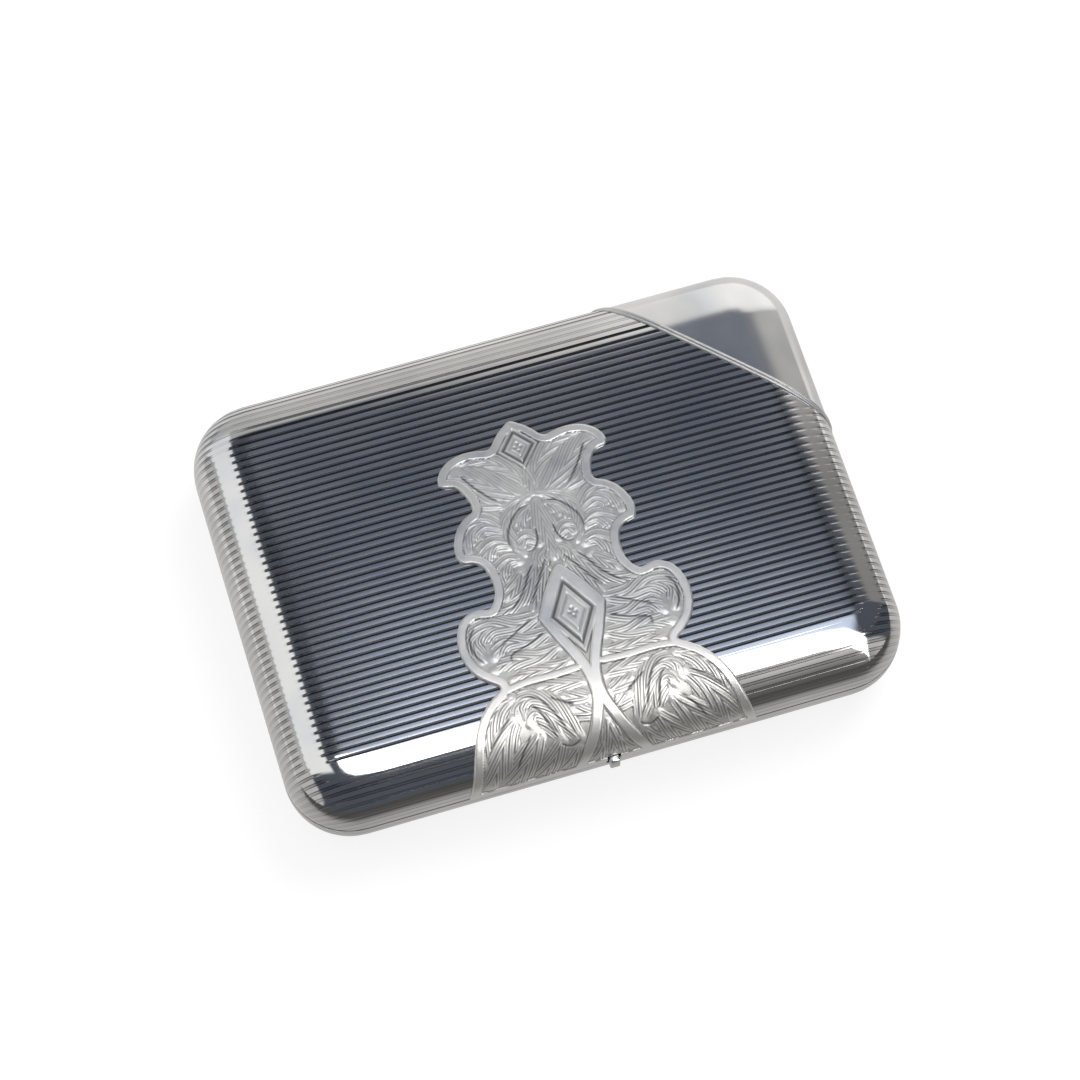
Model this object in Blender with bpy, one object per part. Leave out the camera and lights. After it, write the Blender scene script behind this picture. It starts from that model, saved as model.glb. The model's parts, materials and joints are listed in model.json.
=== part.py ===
"""A reeded silver cigarette case, closed and lying flat with its lid up.

X runs along the long side, Y from the push-piece at the front to the hinge at the back, Z up.
The origin is on the resting plane, under the middle of the case. Every size is in metres.

Both halves are sheet pressed over a die: a flat field, and a rim that rolls down to the seam.
The sheet is reeded before it is pressed, so the ribs follow it down the ends and round the
corners. The lid carries a plain corner behind a border strip, and a leafy cartouche plate that
is bent over its front rim. Inside are a bezel, the hinge, the spring catch and two straps.
"""

import math
from bisect import bisect_right

import bmesh
import bpy
from mathutils import Matrix, Vector

# Driving dimensions of the case
CASE_LENGTH = 0.110
CASE_WIDTH = 0.081
CASE_HEIGHT = 0.019
RIM_RUN_IN = 0.011
DIE_CORNER_RADIUS = 0.0005
WALL = 0.0010
LID_CROWN = 0.0004
SEAM_GAP = 0.0003
SEAT_GAP = 0.0003
RIM_FULLNESS = 2.5

# Reeding of the sheet
RIB_PITCH = 0.00142
GROOVE_WIDTH = 0.00046
GROOVE_DEPTH = 0.00022

# Plain corner and its border strip
BORDER_DISTANCE = 0.0438
BORDER_WIDTH = 0.0012
BORDER_THICKNESS = 0.0003

# Cartouche plate, measured on the flat sheet before it is bent
PLATE_HALF_WIDTH = 0.0257
PLATE_TOP = 0.0213
PLATE_THICKNESS = 0.0004

# Bezel that stands up out of the base, inside the lid
BEZEL_THICKNESS = 0.0005
BEZEL_RISE = 0.0013
BEZEL_DEPTH = 0.0020

# Hinge
HINGE_LENGTH = 0.084
HINGE_STAND_OFF = 0.0004
KNUCKLE_RADIUS = 0.0009
PIN_RADIUS = 0.00035
PIN_CLEARANCE = 0.0001
PIN_HEAD_RADIUS = 0.00065
PIN_HEAD_LENGTH = 0.0004
KNUCKLE_COUNT = 7

# Push-piece and catch
BUTTON_WIDTH = 0.0018
BUTTON_HEIGHT = 0.0030
BUTTON_PROUD = 0.0013
BUTTON_EDGE = 0.0003
BUTTON_TRAVEL = 0.0008
FLANGE_WIDTH = 0.0042
FLANGE_HEIGHT = 0.0029
FLANGE_THICKNESS = 0.0006
NOSE_THICKNESS = 0.0005
NOSE_REACH = 0.0013
NOSE_HEIGHT = 0.0022
NOSE_WIDTH = 0.0030
SPRING_LENGTH = 0.0210
SPRING_HEIGHT = 0.0020
SPRING_THICKNESS = 0.0003
POST_LENGTH = 0.0026
RIVET_RADIUS = 0.00035
RIVET_HEAD_RADIUS = 0.0007
RIVET_HEAD_HEIGHT = 0.0003
RIVET_CLEARANCE = 0.00015
TONGUE_WIDTH = 0.0030
TONGUE_THICKNESS = 0.0005
TONGUE_FOOT = 0.0008
HOOK_RELEASE = 0.0002

# Straps that hold the cigarettes, and their lugs
STRAP_WIDTH = 0.0060
STRAP_THICKNESS = 0.0006
STRAP_TUCK = 0.0003
LUG_LENGTH = 0.0022
LUG_BAR = 0.0006
BASE_STRAP_DROP = 0.0008
LID_STRAP_RISE = 0.0028

# How finely the curved surfaces are divided
RIM_SAMPLES = 240
END_STEPS = 5
LID_COLUMNS = 4
CAVITY_CORNER_STEPS = 6
BEZEL_CORNER_STEPS = 6
ROUND_STEPS = 16
PLATE_BEND_STEPS = 8
PLATE_FIELD_STEPS = 6
STRIP_BEND_STEPS = 7
CURVE_STEPS = 4

# One overrun serves every cutter that has to pass right through
OVERRUN = 0.0020
# Points closer than this are one point
WELD = 0.0000005

SEAM_HEIGHT = CASE_HEIGHT / 2
SHELL_HEIGHT = (CASE_HEIGHT - SEAM_GAP) / 2
CORNER_RADIUS = RIM_RUN_IN + DIE_CORNER_RADIUS
KNUCKLE_GAP = SEAT_GAP
# The hook reaches less far than the push-piece travels, so that pressing it lets the lid go
TONGUE_HOOK = BUTTON_TRAVEL - HOOK_RELEASE
HINGE_Y = CASE_WIDTH / 2 + HINGE_STAND_OFF
INNER_WALL_Y = CASE_WIDTH / 2 - WALL
INNER_WALL_X = CASE_LENGTH / 2 - WALL

# Right half of the cartouche, from the tip down to the seam: shares of the plate's half width
# across, and of its unrolled length from the seam up. Each run is smooth, and runs meet in
# the sharp points of the leaves.
PLATE_OUTLINE_SHARES = (
    ((0.0, 1.0), (0.095, 0.968), (0.17, 0.94)),
    ((0.17, 0.94), (0.30, 0.948), (0.43, 0.94), (0.535, 0.916), (0.58, 0.885), (0.585, 0.853)),
    ((0.585, 0.853), (0.52, 0.868), (0.455, 0.852), (0.42, 0.82), (0.40, 0.768)),
    ((0.40, 0.768), (0.50, 0.762), (0.575, 0.738), (0.622, 0.70), (0.63, 0.665), (0.62, 0.633)),
    ((0.62, 0.633), (0.55, 0.645), (0.49, 0.63), (0.455, 0.588), (0.462, 0.548), (0.52, 0.511)),
    ((0.52, 0.511), (0.61, 0.509), (0.72, 0.49), (0.795, 0.447), (0.80, 0.39), (0.74, 0.337),
     (0.60, 0.292)),
    ((0.60, 0.292), (0.72, 0.263), (0.815, 0.222), (0.885, 0.17), (0.945, 0.095), (1.0, 0.0)),
)


class Rim:
    """The rolled edge in section, a quarter of a full ellipse, read by its own length."""

    def __init__(self, run_in, height, fullness):
        self.run_in = run_in
        self.height = height
        self.fullness = fullness
        self.runs = []
        self.drops = []
        self.lengths = []
        for step in range(RIM_SAMPLES + 1):
            turn = math.pi / 2 * step / RIM_SAMPLES
            run = run_in * math.sin(turn) ** (2 / fullness)
            drop = height * (1 - max(0.0, math.cos(turn)) ** (2 / fullness))
            if step == 0:
                length = 0.0
            else:
                length += math.hypot(run - self.runs[-1], drop - self.drops[-1])
            self.runs.append(run)
            self.drops.append(drop)
            self.lengths.append(length)
        self.length = length

    def at(self, length):
        """Run outwards, drop, and the outward and upward parts of the normal."""
        length = min(max(length, 0.0), self.length)
        upper = min(max(bisect_right(self.lengths, length), 1), RIM_SAMPLES)
        before = self.lengths[upper - 1]
        part = (length - before) / (self.lengths[upper] - before)
        run = self.runs[upper - 1] + part * (self.runs[upper] - self.runs[upper - 1])
        drop = self.drops[upper - 1] + part * (self.drops[upper] - self.drops[upper - 1])
        power = self.fullness - 1
        outward = max(0.0, run / self.run_in) ** power / self.run_in
        upward = max(0.0, 1 - drop / self.height) ** power / self.height
        size = math.hypot(outward, upward)
        return run, drop, outward / size, upward / size


class Die:
    """The smooth form that a sheet is pressed over, dome up, with its seam edge at zero."""

    def __init__(self, inset, height, crown):
        self.core_x = CASE_LENGTH / 2 - CORNER_RADIUS
        self.core_y = CASE_WIDTH / 2 - CORNER_RADIUS
        self.core_radius = DIE_CORNER_RADIUS
        self.flat_x = self.core_x + self.core_radius
        self.flat_y = self.core_y + self.core_radius
        self.height = height - inset
        self.crown = crown
        self.rim = Rim(RIM_RUN_IN - inset, self.height, RIM_FULLNESS)
        self.half_sheet = self.flat_y + self.rim.length

    def crown_at(self, x, y):
        """How far the flat field swells above its edge."""
        along = max(0.0, 1 - (x / self.flat_x) ** 4)
        across = max(0.0, 1 - (y / self.flat_y) ** 2)
        return self.crown * along * across

    def crown_drop(self, run, place, edge_slope):
        """The crown's slope carried on into the rim, dying away down it."""
        return edge_slope * place * run * max(0.0, 1 - run / self.rim.run_in) ** 2

    def row_start(self, sheet_y):
        """Rim length at which a row of the sheet leaves its straight run, and the turn there."""
        past_field = abs(sheet_y) - self.flat_y
        past_core = abs(sheet_y) - self.core_y
        if past_field >= 0:
            return past_field, math.pi / 2
        if past_core > 0:
            return 0.0, math.asin(min(1.0, past_core / self.core_radius))
        return 0.0, 0.0

    def straight(self, x, sheet_y, rise=0.0):
        """A point of the sheet between the two ends, lifted off the die by rise."""
        side = math.copysign(1.0, sheet_y)
        past_field = abs(sheet_y) - self.flat_y
        if past_field <= 0:
            return Vector((x, sheet_y, self.height + self.crown_at(x, sheet_y) + rise))
        run, drop, outward, upward = self.rim.at(past_field)
        drop += self.crown_drop(run, max(0.0, 1 - (x / self.flat_x) ** 4),
                                2 * self.crown / self.flat_y)
        y = side * (self.flat_y + run + outward * rise)
        return Vector((x, y, self.height - drop + upward * rise))

    def end(self, end_side, sheet_y, rim_length, rise=0.0):
        """A point of the sheet where it rolls down an end or round a corner."""
        side = math.copysign(1.0, sheet_y)
        past_core = max(0.0, abs(sheet_y) - self.core_y)
        reach = rim_length + self.core_radius
        turn = math.asin(min(1.0, past_core / reach)) if past_core > 0 else 0.0
        run, drop, outward, upward = self.rim.at(rim_length)
        drop += self.crown_drop(run, max(0.0, 1 - (sheet_y / self.flat_y) ** 2),
                                4 * self.crown / self.flat_x)
        out = self.core_radius + run + outward * rise
        x = end_side * (self.core_x + out * math.cos(turn))
        y = side * (min(abs(sheet_y), self.core_y) + out * math.sin(turn))
        return Vector((x, y, self.height - drop + upward * rise))


def finished(name, mesh, colour, roughness, metallic):
    """An object with its own plain material."""
    thing = bpy.data.objects.new(name, mesh)
    bpy.context.scene.collection.objects.link(thing)
    material = bpy.data.materials.new(name + "_finish")
    material.use_nodes = True
    shader = material.node_tree.nodes["Principled BSDF"]
    shader.inputs["Base Color"].default_value = (*colour, 1.0)
    shader.inputs["Roughness"].default_value = roughness
    shader.inputs["Metallic"].default_value = metallic
    mesh.materials.append(material)
    return thing


def silver(name, mesh):
    return finished(name, mesh, (0.80, 0.80, 0.79), 0.18, 1.0)


def gilt(name, mesh):
    return finished(name, mesh, (0.83, 0.64, 0.32), 0.25, 1.0)


def spring_steel(name, mesh):
    return finished(name, mesh, (0.45, 0.46, 0.48), 0.35, 1.0)


def elastic(name, mesh):
    return finished(name, mesh, (0.58, 0.50, 0.38), 0.85, 0.0)


def to_mesh(name, bm):
    """Close the working mesh into mesh data with its faces pointing out."""
    bmesh.ops.remove_doubles(bm, verts=bm.verts, dist=WELD)
    bmesh.ops.recalc_face_normals(bm, faces=bm.faces)
    mesh = bpy.data.meshes.new(name)
    bm.to_mesh(mesh)
    bm.free()
    return mesh


def guided(thing, mesh, operation):
    """Shape the thing with a guide body of its own, which hangs on it and moves with it."""
    guide = bpy.data.objects.new(thing.name + "_" + mesh.name, mesh.copy())
    bpy.context.scene.collection.objects.link(guide)
    guide.hide_render = True
    guide.display_type = "WIRE"
    guide.parent = thing
    step = thing.modifiers.new(mesh.name, "BOOLEAN")
    step.operation = operation
    step.solver = "EXACT"
    step.object = guide


def cut(thing, mesh):
    """Take a shape out of the thing."""
    guided(thing, mesh, "DIFFERENCE")


def join_on(thing, mesh):
    """Add a shape to the thing."""
    guided(thing, mesh, "UNION")


def block(name, low, high, edge=0.0):
    """A box between two corners, with its edges rounded off where edge is given."""
    low = Vector(low)
    high = Vector(high)
    bm = bmesh.new()
    bmesh.ops.create_cube(bm, size=1.0)
    size = high - low
    bmesh.ops.scale(bm, vec=size, verts=bm.verts)
    bmesh.ops.translate(bm, vec=(low + high) / 2, verts=bm.verts)
    if edge > 0:
        bmesh.ops.bevel(bm, geom=bm.edges[:], offset=edge, offset_type="OFFSET", segments=2,
                        profile=0.5, affect="EDGES", clamp_overlap=True, material=-1)
    return to_mesh(name, bm)


def turned(name, profile, centre):
    """A body turned about a line along X through the centre; profile is (along, radius)."""
    bm = bmesh.new()
    loop = [bm.verts.new((along, 0.0, radius)) for along, radius in profile]
    edges = [bm.edges.new((loop[i], loop[(i + 1) % len(loop)])) for i in range(len(loop))]
    bmesh.ops.spin(bm, geom=loop + edges, cent=(0, 0, 0), axis=(1, 0, 0), angle=2 * math.pi,
                   steps=ROUND_STEPS, use_merge=True)
    bmesh.ops.dissolve_degenerate(bm, edges=bm.edges, dist=WELD)
    bmesh.ops.translate(bm, vec=centre, verts=bm.verts)
    return to_mesh(name, bm)


def turned_along_y(name, profile, centre):
    """The same, about a line along Y."""
    mesh = turned(name, profile, Vector((0, 0, 0)))
    mesh.transform(Matrix.Translation(centre) @ Matrix.Rotation(math.pi / 2, 4, "Z"))
    return mesh


def reed_rows(die):
    """Rows of the reeded sheet from front to back, each with its height off the die."""
    half = die.half_sheet
    count = int(2 * half / RIB_PITCH)
    land = RIB_PITCH - GROOVE_WIDTH
    rows = [(-half, 0.0)]
    for rib in range(count):
        middle = (rib - (count - 1) / 2) * RIB_PITCH
        rows.append((middle - land / 2, 0.0))
        rows.append((middle + land / 2, 0.0))
        if rib < count - 1:
            rows.append((middle + RIB_PITCH / 2, -GROOVE_DEPTH))
    rows.append((half, 0.0))
    return rows


def smooth_rows(die):
    """Rows of a plain sheet, spaced evenly round the plan corners."""
    reach = die.rim.length + die.core_radius
    front = [die.core_y]
    for step in range(1, CAVITY_CORNER_STEPS + 1):
        front.append(die.core_y + reach * math.sin(math.pi / 2 * step / CAVITY_CORNER_STEPS))
    return [(-y, 0.0) for y in reversed(front)] + [(y, 0.0) for y in front]


def pressed_sheet(die, rows, columns):
    """The sheet pressed over the die, open at the seam, with its smooth place kept beside."""
    across = columns + 2 * END_STEPS
    bm = bmesh.new()
    bmesh.ops.create_grid(bm, x_segments=across, y_segments=len(rows) - 1, size=1.0)
    smooth_place = bm.verts.layers.float_vector.new("smooth_place")
    for vert in bm.verts:
        column = round((vert.co.x + 1) / 2 * across)
        sheet_y, rise = rows[round((vert.co.y + 1) / 2 * (len(rows) - 1))]
        start, turn = die.row_start(sheet_y)
        if END_STEPS < column < END_STEPS + columns:
            reach = die.core_x + die.core_radius * math.cos(turn)
            x = reach * (2 * (column - END_STEPS) / columns - 1)
            vert.co = die.straight(x, sheet_y, rise)
            vert[smooth_place] = die.straight(x, sheet_y)
        else:
            end_side = -1 if column <= END_STEPS else 1
            step = END_STEPS - column if end_side < 0 else column - END_STEPS - columns
            rim_length = start + (die.rim.length - start) * step / END_STEPS
            vert.co = die.end(end_side, sheet_y, rim_length, rise)
            vert[smooth_place] = die.end(end_side, sheet_y, rim_length)
    return bm


def iron_corner(bm):
    """Press the ribs flat beyond the border line, so that the back right corner is plain."""
    smooth_place = bm.verts.layers.float_vector["smooth_place"]
    across = Vector((1, 1, 0)).normalized()
    for offset in (-BORDER_WIDTH / 8, BORDER_WIDTH / 8):
        bmesh.ops.bisect_plane(bm, geom=bm.verts[:] + bm.edges[:] + bm.faces[:], dist=WELD,
                               plane_co=across * (BORDER_DISTANCE + offset), plane_no=across)
    for vert in bm.verts:
        if vert.co.dot(across) > BORDER_DISTANCE:
            vert.co = vert[smooth_place]


def close_seam(bm, skirt=0.0):
    """Close an open sheet at its seam, first drawn down by a skirt where one is given."""
    bmesh.ops.remove_doubles(bm, verts=bm.verts, dist=WELD)
    edges = [edge for edge in bm.edges if edge.is_boundary]
    if skirt > 0:
        drawn = bmesh.ops.extrude_edge_only(bm, edges=edges)["geom"]
        verts = [item for item in drawn if isinstance(item, bmesh.types.BMVert)]
        bmesh.ops.translate(bm, vec=(0, 0, -skirt), verts=verts)
        edges = [edge for edge in bm.edges if edge.is_boundary]
    bmesh.ops.contextual_create(bm, geom=edges)


def seated(mesh, upright):
    """Stand a pressed body on the seam: dome up for the lid, dome down for the base."""
    if upright:
        mesh.transform(Matrix.Translation((0, 0, SEAM_HEIGHT + SEAM_GAP / 2)))
    else:
        mesh.transform(Matrix.Translation((0, 0, SEAM_HEIGHT - SEAM_GAP / 2))
                       @ Matrix.Diagonal((1, 1, -1, 1)))
        mesh.flip_normals()
    return mesh


def shell(name, upright):
    """One half of the case: the reeded outside less the smooth inside."""
    outside = Die(0.0, SHELL_HEIGHT, LID_CROWN if upright else 0.0)
    bm = pressed_sheet(outside, reed_rows(outside), LID_COLUMNS if upright else 1)
    bmesh.ops.remove_doubles(bm, verts=bm.verts, dist=WELD)
    if upright:
        iron_corner(bm)
    close_seam(bm)
    half = silver(name, seated(to_mesh(name, bm), upright))
    inside = Die(WALL, SHELL_HEIGHT, 0.0)
    bm = pressed_sheet(inside, smooth_rows(inside), 1)
    close_seam(bm, skirt=OVERRUN)
    cut(half, seated(to_mesh("cavity", bm), upright))
    return half


def smooth_run(points):
    """A smooth line through the points of one run, ends kept, by a cardinal spline."""
    padded = [points[0]] + list(points) + [points[-1]]
    line = []
    for i in range(1, len(padded) - 2):
        before, start, end, after = [Vector(p) for p in padded[i - 1:i + 3]]
        for step in range(CURVE_STEPS):
            t = step / CURVE_STEPS
            line.append(0.5 * (2 * start + (end - before) * t
                               + (2 * before - 5 * start + 4 * end - after) * t ** 2
                               + (3 * start - before - 3 * end + after) * t ** 3))
    return line


def plate_outline(half_sheet):
    """Both halves of the cartouche's outline on the flat sheet, round from the seam."""
    length = PLATE_TOP + half_sheet
    right = []
    for run in PLATE_OUTLINE_SHARES:
        for share in smooth_run(run):
            right.append((share.x * PLATE_HALF_WIDTH, share.y * length - half_sheet))
    right.append((PLATE_HALF_WIDTH, -half_sheet))
    left = [(-x, y) for x, y in reversed(right[1:])]
    return right + left


def cartouche_plate(die):
    """The cartouche: cut out flat, given its thickness, and bent over the front rim."""
    bm = bmesh.new()
    face = bm.faces.new([bm.verts.new((x, y, 0.0)) for x, y in plate_outline(die.half_sheet)])
    bmesh.ops.triangulate(bm, faces=[face], quad_method="BEAUTY", ngon_method="EAR_CLIP")
    bends = [-die.flat_y - die.rim.length * step / PLATE_BEND_STEPS
             for step in range(PLATE_BEND_STEPS)]
    bends += [PLATE_TOP - (PLATE_TOP + die.flat_y) * step / PLATE_FIELD_STEPS
              for step in range(1, PLATE_FIELD_STEPS)]
    for bend in bends:
        bmesh.ops.bisect_plane(bm, geom=bm.verts[:] + bm.edges[:] + bm.faces[:], dist=WELD,
                               plane_co=(0, bend, 0), plane_no=(0, 1, 0))
    bmesh.ops.triangulate(bm, faces=bm.faces)
    raised = bmesh.ops.extrude_face_region(bm, geom=bm.faces[:])["geom"]
    verts = [item for item in raised if isinstance(item, bmesh.types.BMVert)]
    bmesh.ops.translate(bm, vec=(0, 0, PLATE_THICKNESS), verts=verts)
    for vert in bm.verts:
        vert.co = die.straight(vert.co.x, vert.co.y, SEAT_GAP + vert.co.z)
    return silver("cartouche_plate", seated(to_mesh("cartouche_plate", bm), True))


def corner_border(die):
    """The border strip, swept over the field and down both rims, clear of the hinge bed."""
    total = BORDER_DISTANCE * math.sqrt(2)
    back_length = die.rim.length - KNUCKLE_RADIUS - 2 * SEAT_GAP
    field_x = total - die.flat_y
    field_y = total - die.flat_x
    stops = []
    for step in range(STRIP_BEND_STEPS):
        run, drop, outward, upward = die.rim.at(back_length * (1 - step / STRIP_BEND_STEPS))
        stops.append((Vector((field_x - run, die.flat_y + run, die.height - drop)),
                      Vector((0, outward, upward))))
    for part in (0.0, 0.5, 1.0):
        x = field_x + part * (die.flat_x - field_x)
        y = total - x
        stops.append((Vector((x, y, die.height + die.crown_at(x, y))), Vector((0, 0, 1))))
    for step in range(1, STRIP_BEND_STEPS + 1):
        run, drop, outward, upward = die.rim.at(die.rim.length * step / STRIP_BEND_STEPS)
        stops.append((Vector((die.flat_x + run, field_y - run, die.height - drop)),
                      Vector((outward, 0, upward))))
    bm = bmesh.new()
    across = Vector((1, 1, 0)).normalized()
    ring = None
    for place, normal in stops:
        side = (across - normal * across.dot(normal)).normalized() * BORDER_WIDTH / 2
        low = place + normal * SEAT_GAP
        high = low + normal * BORDER_THICKNESS
        corners = [low - side, low + side, high + side, high - side]
        if ring is None:
            ring = bm.faces.new([bm.verts.new(corner) for corner in corners])
            continue
        moved = bmesh.ops.extrude_discrete_faces(bm, faces=[ring])["faces"][0]
        for vert, corner in zip(moved.verts, corners):
            vert.co = corner
        ring = moved
    sweep_cap(bm)
    return silver("corner_border", seated(to_mesh("corner_border", bm), True))


def sweep_cap(bm):
    """Close the first end of a swept body, which the extrusion leaves open."""
    bmesh.ops.remove_doubles(bm, verts=bm.verts, dist=WELD)
    edges = [edge for edge in bm.edges if edge.is_boundary]
    if edges:
        bmesh.ops.contextual_create(bm, geom=edges)


def ring_outline(inset):
    """The case's plan outline at the seam, drawn in by an inset."""
    radius = CORNER_RADIUS - inset
    core_x = CASE_LENGTH / 2 - CORNER_RADIUS
    core_y = CASE_WIDTH / 2 - CORNER_RADIUS
    points = []
    for quarter, (side_x, side_y) in enumerate(((1, 1), (-1, 1), (-1, -1), (1, -1))):
        for step in range(BEZEL_CORNER_STEPS + 1):
            turn = math.pi / 2 * (quarter + step / BEZEL_CORNER_STEPS)
            points.append((side_x * core_x + radius * math.cos(turn),
                           side_y * core_y + radius * math.sin(turn)))
    return points


def prism(name, points, low, high):
    """A plan outline given height."""
    bm = bmesh.new()
    face = bm.faces.new([bm.verts.new((x, y, low)) for x, y in points])
    raised = bmesh.ops.extrude_face_region(bm, geom=[face])["geom"]
    verts = [item for item in raised if isinstance(item, bmesh.types.BMVert)]
    bmesh.ops.translate(bm, vec=(0, 0, high - low), verts=verts)
    return to_mesh(name, bm)


def base_bezel():
    """The thin wall that stands up out of the base and guides the lid."""
    outer = WALL + SEAT_GAP
    low = SEAM_HEIGHT - BEZEL_DEPTH
    high = SEAM_HEIGHT + BEZEL_RISE
    ring = gilt("base_bezel", prism("base_bezel", ring_outline(outer), low, high))
    cut(ring, prism("inside", ring_outline(outer + BEZEL_THICKNESS), low - OVERRUN,
                    high + OVERRUN))
    return ring


def hinge_parts(base, lid):
    """Knuckles in turn on base and lid, the pin through them, and the bed cut for them."""
    centre = Vector((0, HINGE_Y, SEAM_HEIGHT))
    pitch = (HINGE_LENGTH + KNUCKLE_GAP) / KNUCKLE_COUNT
    length = pitch - KNUCKLE_GAP
    bore = PIN_RADIUS + PIN_CLEARANCE
    knuckles = []
    for number in range(KNUCKLE_COUNT):
        start = -HINGE_LENGTH / 2 + number * pitch
        profile = ((start, bore), (start + length, bore), (start + length, KNUCKLE_RADIUS),
                   (start, KNUCKLE_RADIUS))
        name = "hinge_knuckle_%d" % (number + 1)
        knuckles.append(silver(name, turned(name, profile, centre)))
    head = HINGE_LENGTH / 2 + PIN_CLEARANCE
    tip = head + PIN_HEAD_LENGTH
    profile = ((-tip, 0.0), (-tip, PIN_HEAD_RADIUS), (-head, PIN_HEAD_RADIUS),
               (-head, PIN_RADIUS), (head, PIN_RADIUS), (head, PIN_HEAD_RADIUS),
               (tip, PIN_HEAD_RADIUS), (tip, 0.0))
    silver("hinge_pin", turned("hinge_pin", profile, centre))
    bed_radius = KNUCKLE_RADIUS + SEAT_GAP
    bed_end = tip + SEAT_GAP
    profile = ((-bed_end, 0.0), (-bed_end, bed_radius), (bed_end, bed_radius), (bed_end, 0.0))
    bed = turned("hinge_bed", profile, centre)
    cut(base, bed)
    cut(lid, bed)
    return knuckles


def catch_parts(base, lid, plate, bezel):
    """The push-piece in its window, its leaf spring and posts, and the lid's tongue."""
    front = -CASE_WIDTH / 2 - BUTTON_PROUD
    bezel_back = -INNER_WALL_Y + SEAT_GAP + BEZEL_THICKNESS
    flange_front = bezel_back + SEAT_GAP
    flange_back = flange_front + FLANGE_THICKNESS
    head_low = SEAM_HEIGHT - BUTTON_HEIGHT / 2
    head_high = SEAM_HEIGHT + BUTTON_HEIGHT / 2
    flange_high = SEAM_HEIGHT - SEAM_GAP
    flange_low = flange_high - FLANGE_HEIGHT

    window = block("button_window",
                   (-BUTTON_WIDTH / 2 - SEAT_GAP, front - OVERRUN, head_low - SEAT_GAP),
                   (BUTTON_WIDTH / 2 + SEAT_GAP, flange_front, head_high + SEAT_GAP))
    for thing in (base, lid, plate, bezel):
        cut(thing, window)

    button = silver("push_button", block(
        "push_button", (-BUTTON_WIDTH / 2, front, head_low),
        (BUTTON_WIDTH / 2, -INNER_WALL_Y, head_high), edge=BUTTON_EDGE))
    join_on(button, block(
        "shaft", (-BUTTON_WIDTH / 2, -INNER_WALL_Y - BUTTON_WIDTH / 2, head_low + BUTTON_EDGE),
        (BUTTON_WIDTH / 2, flange_back, flange_high)))
    join_on(button, block("flange", (-FLANGE_WIDTH / 2, flange_front, flange_low),
                          (FLANGE_WIDTH / 2, flange_back, flange_high)))
    nose_front = flange_back + TONGUE_HOOK + SEAT_GAP
    nose_low = flange_high - NOSE_THICKNESS
    join_on(button, block("shelf", (-NOSE_WIDTH / 2, flange_front, nose_low),
                          (NOSE_WIDTH / 2, flange_back + NOSE_REACH, flange_high)))
    join_on(button, block(
        "nose", (-NOSE_WIDTH / 2, nose_front, nose_low),
        (NOSE_WIDTH / 2, flange_back + NOSE_REACH, nose_low + NOSE_HEIGHT)))

    spring_high = nose_low - SEAT_GAP
    spring_low = spring_high - SPRING_HEIGHT
    spring_front = flange_back + SEAT_GAP
    spring_back = spring_front + SPRING_THICKNESS
    spring = spring_steel("button_spring", block(
        "button_spring", (-SPRING_LENGTH / 2, spring_front, spring_low),
        (SPRING_LENGTH / 2, spring_back, spring_high)))
    rivet_height = (spring_low + spring_high) / 2
    for side, word in ((-1, "left"), (1, "right")):
        outer = side * SPRING_LENGTH / 2
        inner = side * (SPRING_LENGTH / 2 - POST_LENGTH)
        post = silver("spring_post_" + word, block(
            "spring_post_" + word, (min(outer, inner), flange_front, spring_low),
            (max(outer, inner), flange_back, spring_high)))
        middle = Vector(((outer + inner) / 2, 0, rivet_height))
        head = spring_back + RIVET_CLEARANCE
        profile = ((flange_front, 0.0), (flange_front, RIVET_RADIUS), (head, RIVET_RADIUS),
                   (head, RIVET_HEAD_RADIUS), (head + RIVET_HEAD_HEIGHT, RIVET_HEAD_RADIUS),
                   (head + RIVET_HEAD_HEIGHT, 0.0))
        name = "spring_rivet_" + word
        spring_steel(name, turned_along_y(name, profile, middle))
        hole_radius = RIVET_RADIUS + RIVET_CLEARANCE
        profile = ((flange_front - OVERRUN, 0.0), (flange_front - OVERRUN, hole_radius),
                   (spring_back + OVERRUN, hole_radius), (spring_back + OVERRUN, 0.0))
        hole = turned_along_y("hole_" + word, profile, middle)
        cut(spring, hole)
        cut(post, hole)

    hook_low = flange_high + SEAT_GAP
    foot_low = SEAM_HEIGHT + BEZEL_RISE + SEAT_GAP
    foot_high = foot_low + TONGUE_FOOT
    tongue_front = flange_front
    tongue_back = tongue_front + TONGUE_THICKNESS
    tongue = silver("catch_tongue", block(
        "catch_tongue", (-TONGUE_WIDTH / 2, tongue_front, hook_low),
        (TONGUE_WIDTH / 2, tongue_back, foot_high)))
    join_on(tongue, block(
        "hook", (-TONGUE_WIDTH / 2, tongue_front, hook_low),
        (TONGUE_WIDTH / 2, flange_back + TONGUE_HOOK, hook_low + TONGUE_THICKNESS)))
    inside = Die(WALL, SHELL_HEIGHT, 0.0)
    height = foot_high - SEAM_HEIGHT - SEAM_GAP / 2
    lean = inside.rim.run_in * (1 - (1 - (height / inside.height) ** RIM_FULLNESS)
                                ** (1 / RIM_FULLNESS))
    join_on(tongue, block(
        "foot", (-TONGUE_WIDTH / 2, -INNER_WALL_Y + lean + SEAT_GAP, foot_low),
        (TONGUE_WIDTH / 2, tongue_back, foot_high)))
    return button, tongue


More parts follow.
